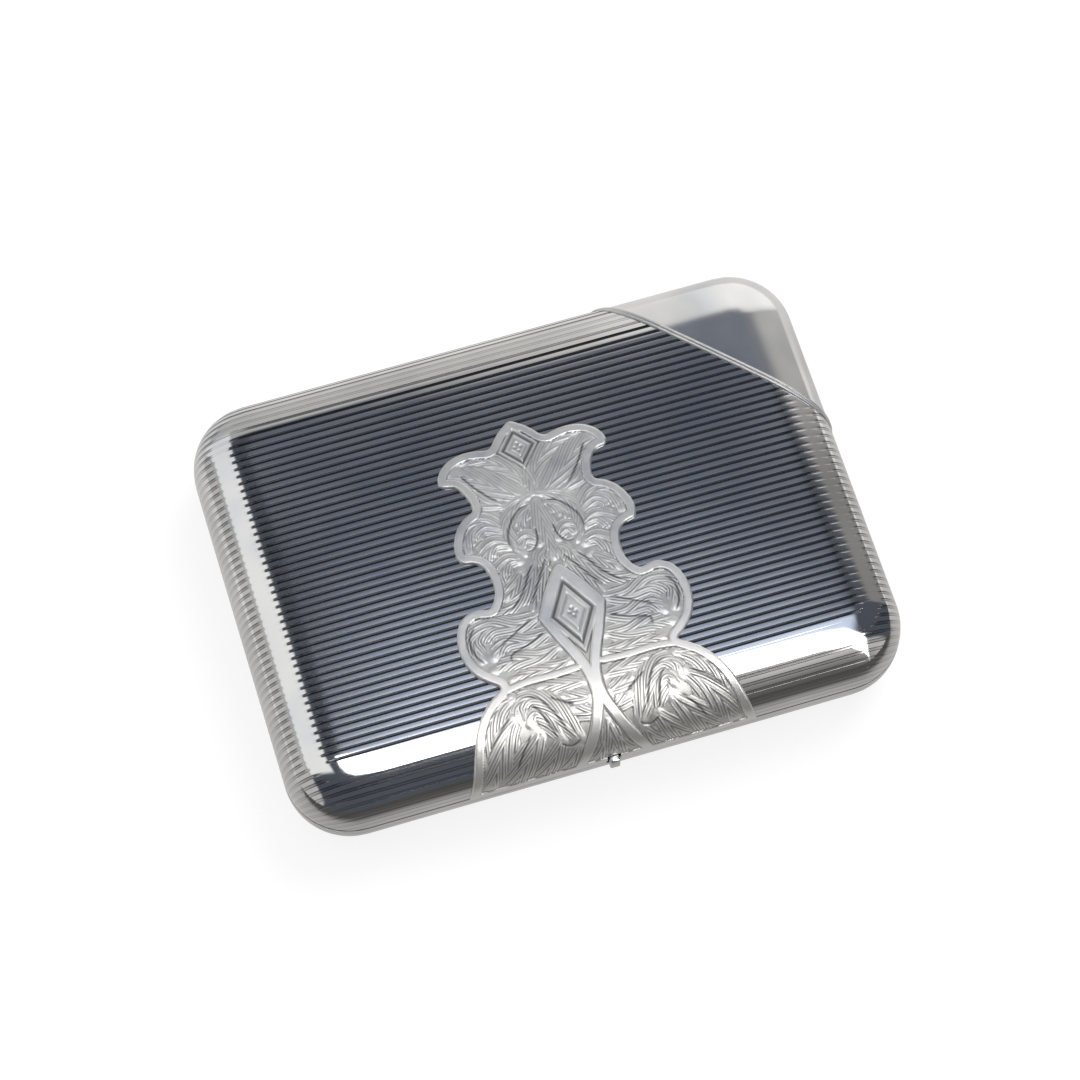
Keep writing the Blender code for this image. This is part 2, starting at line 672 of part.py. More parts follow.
def strap_parts(name, middle, wall_x, wall_x_far):
    """A strap across one half, with a slotted lug at each end."""
    slot_y = STRAP_WIDTH / 2 + SEAT_GAP
    slot_z = STRAP_THICKNESS / 2 + SEAT_GAP
    reach = wall_x_far - LUG_BAR - STRAP_TUCK
    strap = elastic(name, block(name, (-reach, -STRAP_WIDTH / 2, middle - STRAP_THICKNESS / 2),
                                (reach, STRAP_WIDTH / 2, middle + STRAP_THICKNESS / 2)))
    lugs = []
    for side, word in ((-1, "left"), (1, "right")):
        lug_name = "%s_lug_%s" % (name, word)
        ends = sorted((side * wall_x, side * (wall_x_far - LUG_LENGTH)))
        lug = gilt(lug_name, block(lug_name, (ends[0], -slot_y - LUG_BAR, middle - slot_z - LUG_BAR),
                                   (ends[1], slot_y + LUG_BAR, middle + slot_z + LUG_BAR)))
        ends = sorted((side * (wall_x_far - LUG_BAR), side * (wall_x_far - LUG_LENGTH - OVERRUN)))
        cut(lug, block("slot", (ends[0], -slot_y, middle - slot_z),
                       (ends[1], slot_y, middle + slot_z)))
        lugs.append(lug)
    return strap, lugs


def carried_by(pivot, things):
    """Hang pieces, with their guide bodies, on an empty that stands on their joint's axis."""
    for thing in things:
        for item in (thing, *thing.children):
            item.data.transform(Matrix.Translation(-pivot.location))
        thing.parent = pivot


def axis_point(name, place):
    pivot = bpy.data.objects.new(name, None)
    bpy.context.scene.collection.objects.link(pivot)
    pivot.location = place
    return pivot


def main():
    for thing in list(bpy.data.objects):
        bpy.data.objects.remove(thing)

    lid_die = Die(0.0, SHELL_HEIGHT, LID_CROWN)
    base = shell("base_shell", upright=False)
    lid = shell("lid_shell", upright=True)
    plate = cartouche_plate(lid_die)
    border = corner_border(lid_die)
    bezel = base_bezel()
    knuckles = hinge_parts(base, lid)
    button, tongue = catch_parts(base, lid, plate, bezel)

    bezel_x = INNER_WALL_X - SEAT_GAP - BEZEL_THICKNESS - SEAT_GAP
    base_strap_z = SEAM_HEIGHT - BASE_STRAP_DROP
    strap_parts("base_strap", base_strap_z, bezel_x, bezel_x)
    lid_strap_z = SEAM_HEIGHT + LID_STRAP_RISE
    inside = Die(WALL, SHELL_HEIGHT, 0.0)
    top = (LID_STRAP_RISE - SEAM_GAP / 2 + STRAP_THICKNESS / 2 + SEAT_GAP + LUG_BAR)
    lean = inside.rim.run_in * (1 - (1 - (top / inside.height) ** RIM_FULLNESS)
                                ** (1 / RIM_FULLNESS))
    lid_wall = INNER_WALL_X - lean - SEAT_GAP
    lid_strap, lid_lugs = strap_parts("lid_strap", lid_strap_z, lid_wall, bezel_x)

    hinge_axis = axis_point("lid_hinge_axis", (0, HINGE_Y, SEAM_HEIGHT))
    on_lid = [lid, plate, border, tongue, lid_strap] + lid_lugs + knuckles[1::2]
    carried_by(hinge_axis, on_lid)
    button_axis = axis_point("button_slide_axis", (0, -CASE_WIDTH / 2, SEAM_HEIGHT))
    carried_by(button_axis, [button])


main()
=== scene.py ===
"""The looks of a reeded silver cigarette case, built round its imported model.

Both shells are pressed again with fine reeding, the cartouche is chased with leaf scrolls, and
the fittings get soft edges and their metals. X runs along the long side, Y from the push-piece
to the hinge, Z up, all in metres.
"""

import json
import math

import bmesh
import bpy
import numpy as np
from bpy.props import FloatProperty, FloatVectorProperty, PointerProperty
from mathutils import Matrix, Vector

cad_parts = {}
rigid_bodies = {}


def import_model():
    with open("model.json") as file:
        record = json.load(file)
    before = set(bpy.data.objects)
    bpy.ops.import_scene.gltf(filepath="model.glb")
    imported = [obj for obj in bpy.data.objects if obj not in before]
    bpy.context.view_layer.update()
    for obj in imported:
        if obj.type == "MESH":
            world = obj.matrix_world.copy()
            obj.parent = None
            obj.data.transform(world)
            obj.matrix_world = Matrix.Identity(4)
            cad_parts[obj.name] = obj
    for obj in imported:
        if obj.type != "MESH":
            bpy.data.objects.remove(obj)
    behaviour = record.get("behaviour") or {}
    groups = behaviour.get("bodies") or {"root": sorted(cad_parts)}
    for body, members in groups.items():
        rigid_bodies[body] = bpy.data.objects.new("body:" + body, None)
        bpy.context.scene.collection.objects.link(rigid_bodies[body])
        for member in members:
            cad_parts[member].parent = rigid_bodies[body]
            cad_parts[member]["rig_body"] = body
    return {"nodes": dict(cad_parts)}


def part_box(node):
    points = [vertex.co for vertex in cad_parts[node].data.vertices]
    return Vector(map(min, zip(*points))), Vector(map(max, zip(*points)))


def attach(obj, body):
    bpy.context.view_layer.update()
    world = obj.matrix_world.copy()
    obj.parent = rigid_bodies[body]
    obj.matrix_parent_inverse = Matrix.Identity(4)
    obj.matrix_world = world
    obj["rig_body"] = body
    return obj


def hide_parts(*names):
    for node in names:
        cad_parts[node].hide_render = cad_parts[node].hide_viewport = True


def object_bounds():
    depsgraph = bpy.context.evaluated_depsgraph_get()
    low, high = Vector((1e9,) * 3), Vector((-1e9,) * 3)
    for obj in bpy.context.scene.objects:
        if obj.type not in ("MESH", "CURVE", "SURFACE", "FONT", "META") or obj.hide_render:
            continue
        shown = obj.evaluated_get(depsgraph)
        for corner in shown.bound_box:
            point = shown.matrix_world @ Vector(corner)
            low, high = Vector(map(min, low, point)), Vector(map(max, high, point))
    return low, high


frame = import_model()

bl_info = {
    "name": "Reeded Cigarette Case",
    "version": (1, 0, 0),
    "blender": (4, 5, 0),
    "location": "View3D > Sidebar > Cigarette Case",
    "description": "Builds the fine surfaces, metals and studio of a reeded silver cigarette case",
    "category": "Object",
}

MM = 0.001

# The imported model's box, before anything is dressed
cad_low, cad_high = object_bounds()

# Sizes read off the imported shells
lid_low, lid_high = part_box("lid_shell")
base_low, base_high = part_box("base_shell")
plate_low, plate_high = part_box("cartouche_plate")
CASE_LENGTH = base_high.x - base_low.x
CASE_WIDTH = base_high.y - base_low.y
SHELL_HEIGHT = base_high.z - base_low.z
SEAM_HEIGHT = (lid_low.z + base_high.z) / 2
LID_CROWN = lid_high.z - lid_low.z - SHELL_HEIGHT

# Sizes of the press die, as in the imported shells
RIM_RUN_IN = 11.0 * MM
RIM_FULLNESS = 2.5
DIE_CORNER_RADIUS = 0.5 * MM
WALL = 1.0 * MM
SEAT_GAP = 0.3 * MM

# Border strip of the plain corner: its line's distance from the middle of the case, its width,
# how far it is let in, how high its beads start and bulge, and its gap at the back seam
BORDER_DISTANCE = 43.8 * MM
BORDER_WIDTH = 1.2 * MM
BORDER_SUNK = 0.15 * MM
BORDER_BASE = 0.08 * MM
BEAD_RISE = 0.22 * MM
BORDER_END_GAP = 0.2 * MM
BEAD_STEPS = 8
# Where the sheet is divided along the strip, so that the ribs end in a clean line under it
BORDER_CUT_SHARES = (-0.3, -0.1, 0.1, 0.3)

# How finely the sheets are divided
RIM_SAMPLES = 400
END_STEPS = 20
CROWNED_COLUMNS = 18
LEVEL_COLUMNS = 6
LEVEL_ROWS = 6
INSIDE_STEPS = 14
BORDER_RIM_STEPS = 22
BORDER_FIELD_STEPS = 8

# Places across the land of a rib, as shares of its half width
LAND_SHARES = (-1.0, -0.9, -0.5, 0.0, 0.5, 0.9, 1.0)
# Section of a groove: shares of its width across and of its depth down
GROOVE_SHARES = ((0.07, 0.85), (0.25, 1.0), (0.50, 1.0), (0.75, 1.0), (0.93, 0.85))
# How far pocket and thumb have worn the ribs down, by the metal's outward lean: smooth on the
# shoulders, less below them. The front wears from a slighter lean on than the ends and back.
WORN_SHARES = (0.0, 1.0, 1.0, 0.5, 0.9)
WORN_LEANS_FRONT = (0.035, 0.08, 0.28, 0.36, 0.90)
WORN_LEANS_END = (0.13, 0.21, 0.50, 0.60, 0.90)
# Wear along the back shoulder, to that along the front: the thumb rubs it less
BACK_WEAR = 0.84
# Oxide and painted shade on a groove's walls and on the rib's shoulder, to the oxide on its floor:
# the walls stay dark where wear has cleaned the floor
WALL_OXIDE_AND_SHADE = 3.0
RIB_SHARP_ANGLE = math.radians(15)

# Hinge: bore and lip of a barrel; radius of the pin's shaft, length of its heads, and the
# shares of a head that are its dome's length and its neck's radius
KNUCKLE_COUNT = 7
KNUCKLE_BORE = 0.45 * MM
KNUCKLE_LIP = 0.14 * MM
PIN_SHAFT = 0.35 * MM
PIN_HEAD_LENGTH = 0.4 * MM
PIN_DOME_SHARE = 0.8
PIN_NECK_SHARE = 0.85
BARREL_STEPS = 40
PIN_STEPS = 32
DOME_STEPS = 6
LIP_STEPS = 4

# Half the push-piece's stem and half its head, which its window clears by the seat gap
STEM_HALF_WIDTH = 0.9 * MM
HEAD_HALF_HEIGHT = 1.5 * MM

# The leaf spring's free length each side of its middle, its bow, and the steps it is drawn in
SPRING_FREE_HALF = 7.5 * MM
SPRING_BOW = 0.75 * MM
SPRING_STEPS = 8

# Straps: rubber cords side by side, the share of the thickness by which the weave sinks between
# them, how square the strap's edges are, steps across each cord, and steps along the strap
STRAP_CORDS = 6
CORD_WAVE = 0.28
STRAP_SQUARENESS = 10
CORD_STEPS = 6
STRAP_STEPS = 90

WELD = 0.5e-6
SHARP_ANGLE = math.radians(48)
# Edges of the fittings: what counts as flat, what as an edge, and how finely it is rounded
FLAT_ANGLE = math.radians(1.0)
EDGE_ANGLE = math.radians(30)
EDGE_SEGMENTS = 3

# Right half of the cartouche from the tip down to the seam: shares of its half width across,
# and of its unrolled length up from the seam. Runs are smooth and meet in the leaf points.
PLATE_TOP = 21.3 * MM
PLATE_OUTLINE_SHARES = (
    ((0.0, 1.0), (0.105, 0.970), (0.16, 0.945), (0.195, 0.930)),
    ((0.195, 0.930), (0.29, 0.940), (0.40, 0.941), (0.505, 0.927), (0.575, 0.900), (0.598, 0.872),
     (0.583, 0.859)),
    ((0.583, 0.859), (0.545, 0.858), (0.50, 0.855), (0.46, 0.836), (0.43, 0.806), (0.418, 0.776)),
    ((0.418, 0.776), (0.49, 0.766), (0.565, 0.741), (0.618, 0.702), (0.632, 0.666),
     (0.612, 0.641)),
    ((0.612, 0.641), (0.565, 0.639), (0.51, 0.632), (0.464, 0.606), (0.450, 0.568),
     (0.462, 0.535), (0.52, 0.502)),
    ((0.52, 0.502), (0.575, 0.509), (0.65, 0.511), (0.74, 0.492), (0.795, 0.447), (0.80, 0.39),
     (0.74, 0.337), (0.60, 0.292)),
    ((0.60, 0.292), (0.72, 0.263), (0.815, 0.222), (0.885, 0.17), (0.945, 0.095), (1.0, 0.0)),
)

# Leaves of the chasing on the right half, in millimetres on the unrolled sheet: the middle
# line, then the width at its root, along its body and at its tip
LEAVES = (
    # Upper leaf
    (((2.4, 6.6), (6.0, 9.4), (9.6, 12.4), (13.2, 14.6)), 2.4, 5.4, 1.8),
    (((0.4, 8.4), (2.6, 12.0), (6.4, 14.8), (10.6, 15.8)), 1.4, 3.0, 1.2),
    (((5.4, 5.6), (8.4, 7.0), (10.4, 8.8), (11.4, 11.6)), 1.4, 2.8, 1.0),
    (((0.0, 12.4), (0.0, 9.8), (0.0, 6.4)), 1.2, 2.8, 1.0),
    # Scrolls and bulbs in the middle
    (((0.0, 5.2), (0.0, 0.4), (0.0, -6.0)), 1.2, 3.0, 1.0),
    (((0.8, 6.4), (3.8, 5.2), (6.0, 2.4), (6.2, -1.2), (4.6, -4.2)), 1.2, 2.2, 0.9),
    (((1.6, 4.2), (3.2, 2.8), (4.0, 0.6)), 0.9, 1.9, 0.7),
    (((1.6, -2.6), (3.6, -1.2), (5.2, -2.6)), 1.4, 2.4, 1.2),
    (((1.0, -4.0), (2.2, -5.6), (1.4, -8.0)), 0.9, 1.9, 0.7),
    # Middle leaf
    (((6.8, 1.4), (9.8, 3.6), (13.0, 2.6), (14.8, -1.2)), 2.0, 4.6, 1.8),
    (((6.6, -1.6), (9.2, -0.8), (11.4, -2.6), (11.8, -4.4)), 1.6, 3.0, 1.2),
    (((6.0, -4.8), (8.0, -4.6), (9.8, -6.6), (10.2, -9.0)), 1.4, 2.8, 1.0),
    (((6.4, -7.2), (8.0, -9.2), (10.0, -11.2)), 1.4, 2.8, 1.2),
    # Ropes that cross the body
    (((0.8, -5.6), (2.6, -8.4), (4.6, -11.4), (6.4, -14.4)), 1.0, 1.7, 0.8),
    (((3.2, -6.0), (5.2, -9.0), (7.6, -11.6), (10.8, -13.2), (13.6, -13.4)), 1.0, 2.2, 0.9),
    # Scroll leaf
    (((5.8, -15.6), (10.2, -16.4), (14.4, -15.4), (17.6, -17.2), (17.2, -20.6)), 1.6, 3.6, 1.6),
    (((5.0, -18.8), (9.0, -19.6), (12.8, -19.0), (15.2, -20.8)), 1.6, 3.4, 1.4),
    (((4.0, -21.8), (8.0, -22.8), (12.4, -22.4), (16.0, -23.2)), 1.4, 3.2, 1.2),
    (((3.0, -24.8), (6.2, -25.4), (10.4, -25.2), (13.6, -25.6)), 1.2, 2.2, 0.8),
    # Hooked leaf over the rim
    (((5.4, -38.4), (7.0, -35.0), (9.0, -31.6), (11.6, -29.6), (14.0, -30.6), (14.4, -33.0)),
     1.6, 3.2, 1.4),
    (((8.4, -37.4), (9.8, -34.4), (11.6, -32.6), (12.9, -34.0)), 1.2, 2.6, 1.0),
    (((1.8, -29.3), (4.2, -28.9), (7.0, -28.5), (9.6, -28.2)), 1.0, 2.0, 0.8),
    (((1.8, -32.2), (3.6, -31.8), (6.2, -30.8)), 1.2, 2.6, 1.0),
    (((2.0, -35.0), (3.2, -34.6), (5.2, -33.6)), 1.1, 2.4, 0.9),
    # Plumes down the side
    (((14.6, -28.8), (17.8, -30.4), (20.4, -33.8), (22.3, -38.5)), 1.4, 3.0, 1.2),
    (((14.8, -32.4), (17.4, -35.0), (19.8, -39.0), (21.8, -44.0)), 1.8, 4.0, 1.4),
    (((11.8, -36.0), (14.0, -39.0), (16.6, -42.6), (18.6, -46.4)), 1.8, 4.2, 1.4),
    (((8.4, -38.0), (10.4, -41.0), (12.4, -44.0), (13.8, -46.6)), 1.6, 3.6, 1.2),
    (((5.8, -40.0), (7.2, -42.6), (8.6, -45.2), (9.2, -46.6)), 1.2, 2.6, 1.0),
    # Small leaf between the two bands
    (((0.0, -36.8), (0.0, -40.0), (0.0, -43.5)), 0.8, 2.4, 0.8),
    (((1.4, -40.4), (2.2, -42.6), (3.2, -45.4)), 0.8, 1.8, 0.6),
)
# How much wider each leaf is drawn than its table says, so that neighbours meet in a crease
LEAF_SPREAD = 1.5

# Lines cut round the main scrolls, in millimetres on the unrolled sheet, and their half width
CUTS = (
    ((11.6, 14.0), (9.6, 10.6), (7.4, 7.8), (5.2, 5.8)),
    ((0.4, 4.8), (3.4, 4.2), (6.0, 1.2), (6.6, -1.8), (5.6, -4.2)),
    ((1.6, 0.8), (1.8, -2.0), (3.2, -3.7), (5.6, -3.2)),
    ((1.2, -5.2), (3.2, -8.4), (5.2, -11.6), (7.0, -14.4)),
    ((3.4, -5.2), (5.2, -7.8), (6.8, -10.4), (9.2, -12.8), (12.8, -14.2)),
    ((16.6, -14.2), (18.3, -16.6), (18.0, -20.0), (15.8, -22.6)),
    ((7.0, -15.6), (11.0, -17.8), (15.0, -19.6)),
    ((5.0, -18.4), (9.0, -20.2), (12.4, -21.4), (11.8, -24.0)),
    ((3.4, -25.6), (5.6, -26.6), (9.2, -26.0)),
    ((6.8, -37.4), (8.0, -34.0), (9.5, -31.0), (11.2, -29.4), (13.2, -29.2), (14.2, -31.2)),
    ((8.9, -37.8), (9.8, -34.6), (10.8, -32.0), (12.2, -30.9), (13.1, -32.2)),
    ((4.4, -33.0), (6.8, -31.4), (9.2, -29.8)),
    ((15.4, -31.4), (18.0, -33.8), (21.6, -37.2)),
    ((4.9, -38.4), (7.0, -39.4), (9.2, -38.0)),
    ((13.0, -35.4), (15.4, -38.4), (17.4, -42.0)),
)
CUT_HALF_WIDTH = 0.24

# Plain bands that stand level with the border: their middle line and half width
BANDS = (
    (((0.0, -8.4), (2.5, -11.8), (5.0, -16.4)), 0.75),
    (((5.0, -16.4), (3.4, -20.6), (1.6, -24.8), (0.5, -28.6), (0.5, -32.6), (2.2, -37.2),
      (4.7, -42.0), (6.8, -46.6)), 0.75),
    (((2.3, -26.6), (6.6, -26.8), (11.2, -26.7), (15.0, -27.2)), 0.45),
)

# Lozenges: middle, half width and half height of the groove round the panel
LOZENGES = (((0.0, -16.8), (3.5, 5.8)), ((0.0, 15.6), (2.7, 3.1)))

# Barbs of a leaf: distance apart, their turn away from its middle line, and how far each one
# stands out at the leaf's edge
BARB_PITCH = 1.0
BARB_TURN = math.radians(13)
BARB_REACH = 0.13
# Leaves at least this broad have a cut along the middle, so deep and half so wide
RIBBED_FROM = 2.1
MIDRIB_CUT = 0.3
MIDRIB_HALF_WIDTH = 0.18
# A leaf's height at its root, what it gains along its body and loses to its tip; the shares of
# its length where it has swelled and where it narrows, and where its barbs start and end
ROOT_HEIGHT = 0.75
BODY_GAIN = 0.25
TIP_LOSS = 0.15
SWELLED_AT = 0.35
NARROWS_FROM = 0.5
BARBS_FROM = 0.1
BARBS_TO = 0.85

# Steps between two points of a drawn line, and of the outline
LINE_STEPS = 8
OUTLINE_STEPS = 10
# Even steps round the cartouche's outline, and how often they are averaged with their neighbours
OUTLINE_STEP = 0.2 * MM
OUTLINE_ROUNDS = 20
# Rounds of smoothing beside the plate's edge, and steps of its underside down the rim and back
SMOOTH_ROUNDS = 3
UNDER_RIM_STEPS = 30
UNDER_FIELD_STEPS = 10
# Depths of the chasing in millimetres: a cut line, a lozenge's groove, the line inside it, its
# quatrefoil, and how far the plate's edge is rounded over
CUT_DEPTH = 0.12
LOZENGE_DEPTH = 0.20
PANEL_DEPTH = 0.09
QUATREFOIL_DEPTH = 0.10
EDGE_FALL = 0.30
EDGE_WIDTH = 0.35
# How nearly the edge's rounding is a full quarter circle
EDGE_FULLNESS = 0.98
# Slopes down from the level parts, from where to where past each edge, in millimetres
BORDER_SLOPE = (-0.08, 0.16)
BAND_SLOPE = (-0.05, 0.40)
LOZENGE_SLOPE = (-0.05, 0.30)
# Size of the level ground round a lozenge and of the panel's line, to the lozenge's groove,
# and half widths of the groove and the line
LOZENGE_GROUND = 1.3
PANEL_SCALE = 0.60
LOZENGE_HALF_WIDTH = 0.30
PANEL_HALF_WIDTH = 0.16
# Quatrefoil: how far its petals stand out to the side and up, and where their hollow ends
PETAL_ACROSS = 0.5
PETAL_UP = 0.7
PETAL_EDGE = (0.25, 0.5)
# Strands of the upper leaves, to those from this far down, and the leaf height that shows them
UPPER_STRANDS = 0.6
DEEP_FROM = 14.0
STRAND_FROM = 0.2
# The cut along a band: where on its slope it is deepest, and its spread; shares of a scroll's
# line over which its cut starts and ends
BAND_CUT_LEVEL = 0.3
BAND_CUT_SPREAD = 0.28
CUT_START = 0.15
CUT_END = 0.3
# What counts as hollow, and holds oxide: ground lower than this leaf height, cuts, the panel's
# line and quatrefoil; and the clean strip along the plate's edge
LOW_LEAF = 0.35
GROUND_HOLLOW = 0.5
CUT_HOLLOW = 0.9
PANEL_HOLLOW = 0.6
CLEAN_EDGE = (0.5, 0.9)


def length_setting(name, description, default, low, high, precision=5):
    """A length, with its default and its limits given in millimetres."""
    return FloatProperty(name=name, description=description, default=default * MM, min=low * MM,
                         max=high * MM, precision=precision, unit="LENGTH")


def linear(hex_colour):
    """A colour written as sRGB hex, in linear light."""
    parts = [((hex_colour >> shift) & 255) / 255 for shift in (16, 8, 0)]
    return tuple(part / 12.92 if part <= 0.04045 else ((part + 0.055) / 1.055) ** 2.4
                 for part in parts)


def colour_setting(name, description, hex_colour):
    return FloatVectorProperty(name=name, description=description, default=linear(hex_colour),
                               min=0.0, max=1.0, subtype="COLOR")


class ReedingSettings(bpy.types.PropertyGroup):
    rib_pitch: length_setting("Rib pitch", "Distance from one rib to the next", 1.42, 0.4, 4)
    groove_width: length_setting("Groove width", "Width of the groove between two ribs",
                                 0.57, 0.1, 1)
    groove_depth: length_setting("Groove depth", "Depth of the groove below the rib",
                                 0.12, 0.02, 0.5)
    rib_fall: length_setting("Rib fall", "How far a rib falls from its middle to its shoulder",
                             0.004, 0, 0.2, precision=6)


class ChasingSettings(bpy.types.PropertyGroup):
    cell: length_setting("Cell", "Width of one cell of the chased surface", 0.15, 0.1, 1)
    border_width: length_setting("Border width", "Width of the plain border along the outline",
                                 1.55, 0.3, 3)
    border_rise: length_setting("Border rise", "Height of the border over the ribs",
                                0.46, 0.1, 0.7)
    ground_rise: length_setting("Ground rise", "Height of the sunk ground over the ribs",
                                0.27, 0, 0.6)
    leaf_rise: length_setting("Leaf rise", "Height of a leaf over the ground", 0.15, 0.05, 0.6)
    strand_rise: length_setting("Strand rise", "Height of a strand over its leaf",
                                0.045, 0, 0.2, precision=6)
    sink: length_setting("Sink", "How far the plate is let in below the rib crests",
                         0.12, 0, 0.5)


class FinishSettings(bpy.types.PropertyGroup):
    silver: colour_setting("Silver", "Colour of polished silver", 0xF1F0EE)
    oxide: colour_setting("Oxide", "Colour of the dark oxide left in grooves", 0x36383C)
    gilt: colour_setting("Gilt", "Colour of the gilding inside", 0xE9C27C)
    steel: colour_setting("Spring steel", "Colour of the blued spring steel", 0x9A9EA6)
    elastic: colour_setting("Elastic", "Colour of the woven elastic", 0xC9B48A)


class StageSettings(bpy.types.PropertyGroup):
    floor: colour_setting("Floor", "Colour of the table", 0xFFFFFF)
    ceiling: colour_setting("Ceiling", "Tint of the dark ceiling that the lid mirrors", 0xDDE8FF)
    walls: colour_setting("Walls", "Tint of the pale walls that the rims mirror", 0xFFFDFB)
    softbox: FloatProperty(
        name="Softbox", description="Strength of the softboxes in reflections",
        default=4.5, min=0.0, max=10.0)


class Rim:
    """The rolled edge in section, a quarter of a full ellipse, read by its own length."""

    def __init__(self, run_in, height):
        turns = np.linspace(0, math.pi / 2, RIM_SAMPLES + 1)
        self.run_in = run_in
        self.height = height
        self.runs = run_in * np.sin(turns) ** (2 / RIM_FULLNESS)
        self.drops = height * (1 - np.maximum(0, np.cos(turns)) ** (2 / RIM_FULLNESS))
        steps = np.hypot(np.diff(self.runs), np.diff(self.drops))
        self.lengths = np.concatenate(([0], np.cumsum(steps)))
        self.length = float(self.lengths[-1])

    def at(self, length):
        """Run outwards, drop, and the outward and upward parts of the normal."""
        run = float(np.interp(length, self.lengths, self.runs))
        drop = float(np.interp(length, self.lengths, self.drops))
        outward = (run / self.run_in) ** (RIM_FULLNESS - 1) / self.run_in
        upward = max(0.0, 1 - drop / self.height) ** (RIM_FULLNESS - 1) / self.height
        size = math.hypot(outward, upward)
        return run, drop, outward / size, upward / size


class Die:
    """The smooth form that a sheet is pressed over, dome up, with its seam edge at zero."""

    def __init__(self, inset, crown):
        corner_radius = RIM_RUN_IN + DIE_CORNER_RADIUS
        self.core_x = CASE_LENGTH / 2 - corner_radius
        self.core_y = CASE_WIDTH / 2 - corner_radius
        self.core_radius = DIE_CORNER_RADIUS
        self.flat_x = self.core_x + self.core_radius
        self.flat_y = self.core_y + self.core_radius
        self.height = SHELL_HEIGHT - inset
        self.crown = crown
        self.rim = Rim(RIM_RUN_IN - inset, self.height)
        self.half_sheet = self.flat_y + self.rim.length

    def crown_at(self, x, y):
        """Height of the gentle crown of the field, highest in its middle."""
        along = max(0.0, 1 - (x / self.flat_x) ** 4)
        across = max(0.0, 1 - (y / self.flat_y) ** 2)
        return self.crown * along * across

    def crown_drop(self, run, place, edge_slope):
        """The crown's slope carried on into the rim, dying away down it."""
        return edge_slope * place * run * max(0.0, 1 - run / self.rim.run_in) ** 2

    def straight(self, x, sheet_y, rise=0.0):
        """A point of the sheet between the two ends, lifted off the die by rise."""
        side = math.copysign(1.0, sheet_y)
        past_field = abs(sheet_y) - self.flat_y
        if past_field <= 0:
            return Vector((x, sheet_y, self.height + self.crown_at(x, sheet_y) + rise))
        run, drop, outward, upward = self.rim.at(past_field)
        drop += self.crown_drop(run, max(0.0, 1 - (x / self.flat_x) ** 4),
                                2 * self.crown / self.flat_y)
        y = side * (self.flat_y + run + outward * rise)
        return Vector((x, y, self.height - drop + upward * rise))

    def end(self, end_side, sheet_y, rim_length, rise=0.0):
        """A point of the sheet where it rolls down an end or round a corner."""
        side = math.copysign(1.0, sheet_y)
        past_core = max(0.0, abs(sheet_y) - self.core_y)
        reach = rim_length + self.core_radius
        turn = math.asin(min(1.0, past_core / reach)) if past_core > 0 else 0.0
        run, drop, outward, upward = self.rim.at(rim_length)
        drop += self.crown_drop(run, max(0.0, 1 - (sheet_y / self.flat_y) ** 2),
                                4 * self.crown / self.flat_x)
        out = self.core_radius + run + outward * rise
        x = end_side * (self.core_x + out * math.cos(turn))
        y = side * (min(abs(sheet_y), self.core_y) + out * math.sin(turn))
        return Vector((x, y, self.height - drop + upward * rise))

    def row_start(self, sheet_y):
        """Rim length at which a row of the sheet leaves its straight run, and the turn there."""
        past_field = abs(sheet_y) - self.flat_y
        past_core = abs(sheet_y) - self.core_y
        if past_field >= 0:
            return past_field, math.pi / 2
        if past_core > 0:
            return 0.0, math.asin(min(1.0, past_core / self.core_radius))
        return 0.0, 0.0


def seat(thing, upright):
    """Stand pressed geometry on the seam: dome up for the lid, dome down for the base."""
    if upright:
        thing.transform(Matrix.Translation((0, 0, lid_low.z)))
    else:
        thing.transform(Matrix.Translation((0, 0, base_high.z)) @ Matrix.Diagonal((1, 1, -1, 1)))
        thing.flip_normals()


def new_piece(name, node, mesh, finishes, sharp=SHARP_ANGLE):
    """A finished object at the origin that takes a node's place and rides on its body."""
    piece = bpy.data.objects.new(name, mesh)
    bpy.context.scene.collection.objects.link(piece)
    for finish in finishes:
        mesh.materials.append(finish_of(finish))
    mesh.shade_smooth()
    mesh.set_sharp_from_angle(angle=sharp)
    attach(piece, frame["nodes"][node]["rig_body"])
    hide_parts(node)


def mesh_from(bm, name):
    mesh = bpy.data.meshes.new(name)
    bm.to_mesh(mesh)
    bm.free()
    return mesh


def reed_rows(die, reeding):
    """Rows of the reeded sheet from front to back: place, height off the die, groove share."""
    pitch = reeding.rib_pitch
    land = (pitch - reeding.groove_width) / 2
    count = int(2 * die.half_sheet / pitch)
    rows = [(-die.half_sheet, 0.0, 0.0)]
    for rib in range(count):
        middle = (rib - (count - 1) / 2) * pitch
        for share in LAND_SHARES:
            # The shoulder row gets oxide and painted shade, which darkens the land's edge
            rows.append((middle + share * land, -reeding.rib_fall * share ** 2,
                         WALL_OXIDE_AND_SHADE if abs(share) == 1 else 0.0))
        if rib == count - 1:
            continue
        for share, fall in GROOVE_SHARES:
            rise = -reeding.rib_fall - (reeding.groove_depth - reeding.rib_fall) * fall
            # Groove walls get oxide and painted shade; the floor gets oxide only
            rows.append((middle + land + share * reeding.groove_width, rise,
                         1.0 if fall == 1 else WALL_OXIDE_AND_SHADE))
    rows.append((die.half_sheet, 0.0, 0.0))
    return rows


def smooth_rows(die):
    """Rows of the plain inside, closer together down the rims."""
    rim = [die.core_y + (die.half_sheet - die.core_y) * step / INSIDE_STEPS
           for step in range(INSIDE_STEPS + 1)]
    field = [die.core_y * step / LEVEL_ROWS for step in range(1 - LEVEL_ROWS, LEVEL_ROWS)]
    places = [-y for y in reversed(rim)] + field + rim
    return [(y, 0.0, 0.0) for y in places]


